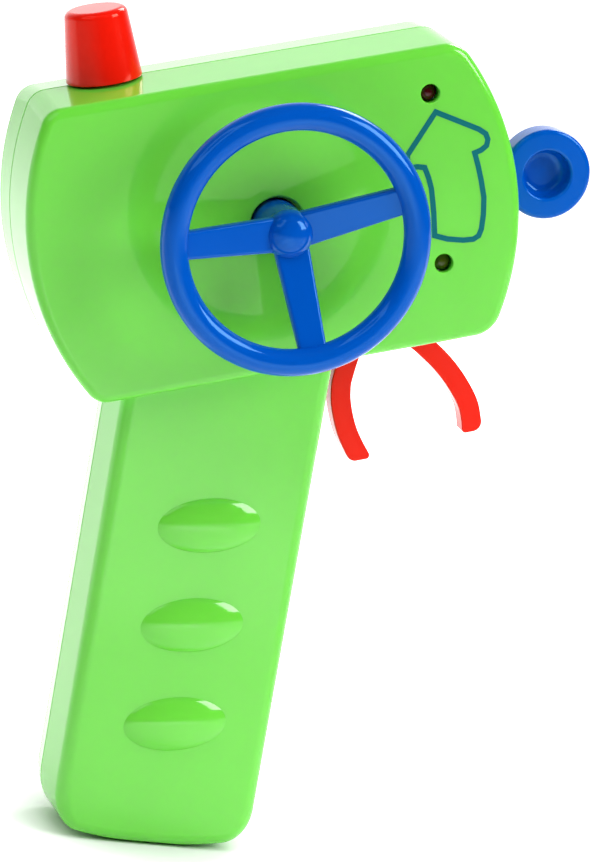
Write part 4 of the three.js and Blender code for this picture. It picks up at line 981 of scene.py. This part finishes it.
def metal(name, colour, rough=(0.22, 0.38), scratch=(1, 1, 1)):
    """Bare metal, mottled, with scratches that a stretched noise draws out."""
    m = Surface(name)
    lines = m.noise(700, 5, 0.7, scratch)
    m.bump(lines, 0.15, 0.00006)
    m.set(
        Base_Color=m.speckle(shaded(colour, 0.88), colour, 300, 4, 0.6), Roughness=m.spread(lines, *rough),
        Metallic=1.0, IOR=1.5,
    )
    return m.mat


def lens(name, colour, deep):
    """Tinted resin under a thin coat, with cloudy darker patches."""
    m = Surface(name)
    m.bump(m.noise(260, 1, 0.4), 0.08, 0.0002)
    m.set(
        Base_Color=m.speckle(deep, colour, 420), Roughness=m.spread(m.noise(500, 2), 0.04, 0.09),
        IOR=1.38, Coat_Weight=0.08, Coat_Roughness=0.03,
    )
    return m.mat


def circuit_board(name):
    """Solder mask over a pattern of straight tracks, with tinned pads."""
    m = Surface(name)
    level = m.node("ShaderNodeMapping", Rotation=(math.radians(90), TILT, 0), Vector=m.coords).outputs[0]
    tracks = m.node(
        "ShaderNodeTexBrick", Vector=level, Scale=190, Mortar_Size=0.06, Color1=(0, 0, 0, 1),
        Color2=(0.25, 0.25, 0.25, 1), Mortar=(1, 1, 1, 1),
    ).outputs["Color"]
    mask = m.mix(tracks, linear(24, 84, 46), linear(52, 132, 74))
    dots = m.node("ShaderNodeTexVoronoi", Scale=230, Vector=m.coords).outputs["Distance"]
    m.bump(tracks, 0.3, 0.00005)
    m.set(
        Base_Color=m.mix(m.spread(dots, 1, 0, 0.16, 0.2), mask, linear(190, 190, 182)),
        Roughness=m.spread(m.noise(300), 0.25, 0.4),
    )
    return m.mat


def printed(name, colour):
    """Screen-printed ink: slightly uneven cover and a matt grain."""
    m = Surface(name)
    thin = tuple(min(c * 1.08 + 0.002, 1) for c in colour[:3]) + (1.0,)
    m.bump(m.noise(900, 2), 0.05, 0.00004)
    m.set(
        Base_Color=m.speckle(colour, thin, 500, 3, 0.6), Roughness=m.spread(m.noise(500, 3, 0.6), 0.3, 0.4),
        IOR=1.25,
    )
    return m.mat


GREEN = plastic("green_plastic", (0.16, 0.69, 0.056, 1), (0.07, 0.12), subsurface=0.35)
BLUE = plastic("blue_plastic", (0.0, 0.085, 0.495, 1), (0.06, 0.10), tint=(0.22, 0.62, 1.0))
RED = plastic("red_plastic", (0.92, 0.010, 0.003, 1), (0.08, 0.14), tint=(1, 0.35, 0.25))
WHITE = plastic("natural_plastic", (0.78, 0.77, 0.71, 1), (0.25, 0.4))
BLACK = plastic("black_plastic", (0.012, 0.012, 0.013, 1), (0.25, 0.4), 0.3)
STEEL = metal("zinc_steel", (0.62, 0.63, 0.65, 1))
SPRING = metal("spring_steel", (0.5, 0.5, 0.51, 1), (0.16, 0.3), (1, 4, 1))
BRASS = metal("sheet_brass", (0.75, 0.55, 0.22, 1))
COPPER = metal("enamelled_copper", (0.78, 0.33, 0.12, 1), (0.15, 0.28))
CAN = metal("drawn_can", (0.68, 0.69, 0.7, 1), (0.2, 0.32), (1, 1, 8))
NICKEL = metal("nickel_plate", (0.66, 0.65, 0.62, 1), (0.12, 0.24))
RED_LENS = lens("red_lens", linear(80, 7, 12), linear(50, 4, 8))
GREEN_LENS = lens("green_lens", linear(66, 80, 10), linear(46, 58, 7))
BOARD_MASK = circuit_board("circuit_board")
INK = printed("teal_ink", linear(0, 104, 108))
SLEEVE = plastic("sleeve_film", (0.035, 0.045, 0.055, 1), (0.18, 0.3), 0.25)
SLEEVE_BAND = plastic("sleeve_band", (0.55, 0.28, 0.06, 1), (0.18, 0.3), 0.15)
CAP_FILM = plastic("capacitor_film", (0.015, 0.03, 0.09, 1), (0.2, 0.3), 0.2)
WIRE_RED = plastic("red_wire_cover", (0.5, 0.01, 0.01, 1), (0.3, 0.45))
WIRE_BLACK = plastic("black_wire_cover", (0.01, 0.01, 0.01, 1), (0.3, 0.45), 0.3)


# ---- Pieces ----
def piece(obj, name, body, material, stands_for=None):
    """Scales a finished body to metres, shades it and hands it to the frame."""
    obj.name = name
    obj.data.name = name
    bm = bmesh.new()
    bm.from_mesh(obj.data)
    bmesh.ops.remove_doubles(bm, verts=bm.verts, dist=2e-4)
    bmesh.ops.dissolve_degenerate(bm, dist=1e-5, edges=bm.edges)
    bm.to_mesh(obj.data)
    bm.free()
    obj.data.transform(Matrix.Scale(MM, 4))
    obj.data.materials.clear()
    for mat in material if isinstance(material, (list, tuple)) else (material,):
        obj.data.materials.append(mat)
    obj.data.shade_smooth()
    obj.data.set_sharp_from_angle(angle=SHARP_ANGLE)
    obj.data.update()
    weighted = obj.modifiers.new("weighted_normal", "WEIGHTED_NORMAL")
    weighted.keep_sharp = True
    weighted.weight = 80
    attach(obj, body)
    if stands_for:
        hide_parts(*([stands_for] if isinstance(stands_for, str) else stands_for))
    return obj


def carried(name, material, bevel):
    """Gives a CAD node that keeps its shape a real material and softened edges."""
    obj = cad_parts[name]
    for s in obj.material_slots:
        s.material = material
    mod = obj.modifiers.new("edges", "BEVEL")
    mod.width = bevel * MM
    mod.segments = 2
    mod.limit_method = "ANGLE"
    mod.angle_limit = math.radians(40)


piece(front_shell(), "case_front", "case", GREEN, "front_shell")
piece(rear_shell(), "case_rear", "case", GREEN, "rear_shell")
piece(arrow_mark(), "arrow_mark", "case", INK)
piece(steering_wheel(), "wheel", "steering", BLUE, "steering_wheel")
piece(steering_crank(), "wheel_crank", "steering", WHITE, "steering_crank")
piece(steering_wiper(), "wheel_wiper", "steering", BRASS, "steering_wiper")
piece(trigger(), "finger_trigger", "trigger", RED, "trigger")
piece(turbo_lever(), "thumb_lever", "turbo_lever", BLUE, "turbo_lever")
piece(aerial_cap(), "aerial", "case", RED, "aerial_cap")
piece(battery_door(), "door", "battery_door", GREEN, "battery_door")

def fixing(obj, name, body, node):
    piece(obj, name, body, STEEL, node)


for i, at in enumerate(HEAD_BOSSES, 1):
    fixing(place(screw(at, HEAD_SEAT_Y, -9)), f"head_screw_{i}", "case", f"case_screw_head_{i}")
for i, at in enumerate(GRIP_BOSSES, 1):
    fixing(screw(at, GRIP_SEAT_Y, -8), f"grip_screw_{i}", "case", f"case_screw_grip_{i}")
for i, at in enumerate(BOARD_POSTS, 1):
    body = moved(screw(at, -BOARD["y0"], -13.2, 2.2, 1.0), Matrix.Scale(-1, 4, (0, 1, 0)))
    body.data.flip_normals()
    fixing(place(body), f"board_fixing_{i}", "case", f"board_screw_{i}")
fixing(screw((0, DOOR_SCREW_Z), DOOR["y0"] - 0.6, 2.2), "door_fixing", "battery_door", "battery_door_screw")
fixing(place(turned(screw((0, 0), 2.4, -14, 2.9), WHEEL_REST)), "wheel_fixing", "steering", "steering_screw")

for name, *wound in (
    ("steering_spring", (0, 0), COLLAR_RADIUS + 1, -15.5, -11.5, 90, 9),
    ("trigger_spring", TRIGGER_PIVOT, PIVOT_BOSS + 0.9, -8, -4.3, 90, 7),
    ("turbo_spring", TURBO_PIVOT, PIVOT_BOSS + 0.9, -10.5, -7, 0, 6),
):
    piece(torsion_spring(*wound), name + "_wire", "case", SPRING, name)
for name, at in (("trigger_pin", TRIGGER_PIVOT), ("turbo_pin", TURBO_PIVOT)):
    pin = place(cylinder(1.5, HEAD_FRONT_Y + WALL + 1.8, HEAD_REAR_Y - WALL - 2.3, at, 48, 0.25, 0.25))
    fixing(pin, name + "_rod", "case", name)

winding = upright(tube(helix_points(2.4, 0, 13, 6), 0.4))
stem = upright(tube(smooth_line([(2.4, 0.3, 0), (2.4, -3, 0), (1, -7, 1.2), (0, -11, 2.2)], 8), 0.4))
piece(place(shift(union(winding, stem), AERIAL_X, SEAM_Y, AERIAL_BASE_Z)), "aerial_winding", "case", COPPER,
      "aerial_coil")

for name, at, material, colour in (
    ("red_led", RED_LED, RED_LENS, "led_red"), ("green_led", GREEN_LED, GREEN_LENS, "led_green"),
):
    lamp = joined_parts(led(at), led_leads(at))
    lamp_piece = piece(lamp, name + "_lamp", "case", [material, NICKEL], name)
    for poly in lamp_piece.data.polygons:
        if poly.center.y > (LED_FLANGE_Y + 1.1) * MM:
            poly.material_index = 1

for i, x, z0, nub_up in ((1, -CELL_X, UPRIGHT_CELL_Z, True), (2, CELL_X, INVERTED_CELL_Z, False)):
    cell = piece(battery_cell(x, z0, nub_up), f"cell_{i}", "case", [SLEEVE, SLEEVE_BAND, NICKEL],
                 f"battery_cell_{i}")
    for poly in cell.data.polygons:
        px, py, pz = poly.center / MM
        along = pz - z0 if nub_up else CELL_BODY + CELL_NUB + z0 - pz
        outer = math.hypot(px - x, py - CELL_Y) > CELL_RADIUS - 0.3
        poly.material_index = int(along > CELL_BODY - CELL_BAND) if outer else 2

z_low = BAY["z0"] + GAP
z_high = BAY["z1"] - GAP - 0.5
tip_up = UPRIGHT_CELL_Z + CELL_BODY + CELL_NUB
tip_down = INVERTED_CELL_Z + CELL_BODY + CELL_NUB
link = union(
    contact_plate(-CELL_X, CELL_X, z_low), contact_spring(-CELL_X, z_low + 0.5, UPRIGHT_CELL_Z - 0.7),
)
piece(link, "contact_link", "case", NICKEL, "battery_contact_link")
plus = union(
    contact_plate(-CELL_X, -CELL_X, z_high),
    shift(upright(cylinder(2.2, tip_up + GAP, z_high + 0.1, (0, 0), 48, 0.3)), -CELL_X, CELL_Y, 0),
)
piece(plus, "contact_positive", "case", NICKEL, "battery_contact_positive")
minus = union(contact_plate(CELL_X, CELL_X, z_high), contact_spring(CELL_X, z_high, tip_down + 0.7))
piece(minus, "contact_negative", "case", NICKEL, "battery_contact_negative")
piece(supply_wire(-CELL_X, 0, -15), "supply_lead_red", "case", WIRE_RED, "supply_wire_red")
piece(supply_wire(CELL_X, 1.5, -9), "supply_lead_black", "case", WIRE_BLACK, "supply_wire_black")

carried("main_board", BOARD_MASK, 0.15)
for name in ("trigger_switch_forward", "trigger_switch_reverse", "turbo_switch"):
    carried(name, BLACK, 0.25)
carried("encoder_chip", BLACK, 0.1)
carried("crystal_can", CAN, 0.3)
carried("tuning_coil", CAN, 0.2)
carried("capacitor", CAP_FILM, 0.2)

# ---- Floor, light and camera ----
ROOM = {"left": 0.03, "right": 0.03, "front": 0.05, "back": 1.62, "up": 0.03}
TABLE = {"far": 0.05, "mid": 0.95, "near": 0.52, "behind": 0.95, "left": 0.05, "right": 0.05}


def light_sum(nodes, masks, strengths):
    """The strengths' light where the masks let it through; the camera sees plain white."""
    total = 0.0
    for key, strength in strengths.items():
        total = nodes.math("ADD", total, nodes.math("MULTIPLY", masks[key], strength))
    camera_ray = nodes.node("ShaderNodeLightPath").outputs["Is Camera Ray"]
    return nodes.mix(camera_ray, total, 1.0, "FLOAT")


def table_top():
    """A white table. It lights the model by regions; the camera sees it plain white, except near the base,
    where its glow fades out as a painted contact shadow.
    """
    obj = new_object("floor", [(-6, -6, 0), (6, -6, 0), (6, 6, 0), (-6, 6, 0)], [(0, 1, 2, 3)])
    obj.location.z = -0.0003
    n = Surface("white_table")
    axes = n.node("ShaderNodeSeparateXYZ", Vector=n.coords)
    x, y = axes.outputs["X"], axes.outputs["Y"]

    def ramp(value, start, end):
        return n.spread(value, 0.0, 1.0, start, end, interpolation_type="SMOOTHSTEP")

    def times(a, b):
        return n.math("MULTIPLY", a, b)

    def rest(mask):
        return n.math("SUBTRACT", 1.0, mask)

    ahead, beside, behind = ramp(y, -0.7, -0.5), ramp(y, -0.28, -0.2), ramp(y, -0.02, 0.06)
    left, right = ramp(x, -0.08, -0.16), ramp(x, 0.11, 0.19)
    close = times(ahead, rest(behind))
    middle = times(close, rest(n.math("ADD", left, right)))
    masks = {
        "far": rest(ahead), "mid": times(middle, rest(beside)), "near": times(middle, beside),
        "behind": behind, "left": times(close, left), "right": times(close, right),
    }
    reach = n.math("SQRT", n.math("ADD", times(x, x), times(y, y)))
    n.set(
        Base_Color=n.speckle((0.84, 0.84, 0.84, 1), (0.87, 0.87, 0.87, 1), 3, 2),
        # Painted contact shadow: the glow fades to nothing between 52 and 14 mm from the middle of the base,
        # darkening the table there and dimming the light it throws on the grip's foot.
        Emission_Strength=times(light_sum(n, masks, TABLE), ramp(reach, 0.014, 0.052)),
        Emission_Color=(1, 1, 1, 1), Roughness=0.6, Specular_IOR_Level=0.0,
    )
    obj.data.materials.append(n.mat)


def studio():
    """The room: each side's light falls off with the square of the cosine from its axis."""
    world = bpy.data.worlds.new("studio")
    bpy.context.scene.world = world
    n = Nodes(world)
    axes = n.node("ShaderNodeSeparateXYZ", Vector=n.node("ShaderNodeTexCoord").outputs["Generated"])
    masks = {}
    for key, axis, sign in (
        ("left", "X", -1), ("right", "X", 1), ("front", "Y", -1), ("back", "Y", 1), ("up", "Z", 1),
    ):
        toward = n.math("MAXIMUM", n.math("MULTIPLY", axes.outputs[axis], sign), 0.0)
        masks[key] = n.math("MULTIPLY", toward, toward)
    sky = n.node("ShaderNodeBackground", Color=(1, 1, 1, 1), Strength=light_sum(n, masks, ROOM))
    n.node("ShaderNodeOutputWorld", Surface=sky.outputs[0])


def softbox(name, place_at, target, size, power, diffuse=True, glossy=True):
    light = bpy.data.lights.new(name, "AREA")
    light.shape = "RECTANGLE"
    light.size, light.size_y = size
    light.energy = power
    obj = bpy.data.objects.new(name, light)
    obj.location = place_at
    obj.rotation_euler = (Vector(target) - Vector(place_at)).to_track_quat("-Z", "Y").to_euler()
    obj.visible_diffuse, obj.visible_glossy = diffuse, glossy
    bpy.context.scene.collection.objects.link(obj)


table_top()
studio()
softbox("key", (0.78, -0.60, 0.68), (0, 0, 0.12), (0.6, 0.5), 7.2, glossy=False)
softbox("window", (0.77, -0.46, 0.81), (0, 0, 0.12), (0.5, 0.65), 9, diffuse=False)
softbox("hair", (0.50, 0.60, 0.85), (0, 0, 0.14), (0.4, 0.4), 4)
softbox("fill", (-0.80, -0.45, 0.95), (0, 0, 0.12), (0.4, 0.4), 1.6, glossy=False)
softbox("sheen", (-0.80, -0.45, 0.95), (0, 0, 0.12), (0.8, 0.8), 3.2, diffuse=False)
softbox("top", (0.05, -0.45, 1.25), (0, 0, 0.14), (1.3, 0.9), 10.5, glossy=False)

camera_data = bpy.data.cameras.new("camera")
camera_data.sensor_fit = "AUTO"
camera_data.sensor_width = 36
camera_data.lens = 196.29
camera_data.clip_start, camera_data.clip_end = 0.05, 50
camera = bpy.data.objects.new("camera", camera_data)
camera.matrix_world = Matrix((
    (0.9538323, -0.1083531, -0.2801135, -0.30683),
    (-0.2472216, 0.2463454, -0.9371208, -1.10798),
    (0.1705447, 0.9631062, 0.2081850, 0.35350),
    (0, 0, 0, 1),
))
bpy.context.scene.collection.objects.link(camera)
bpy.context.scene.camera = camera
bpy.context.scene.view_settings.view_transform = "Standard"
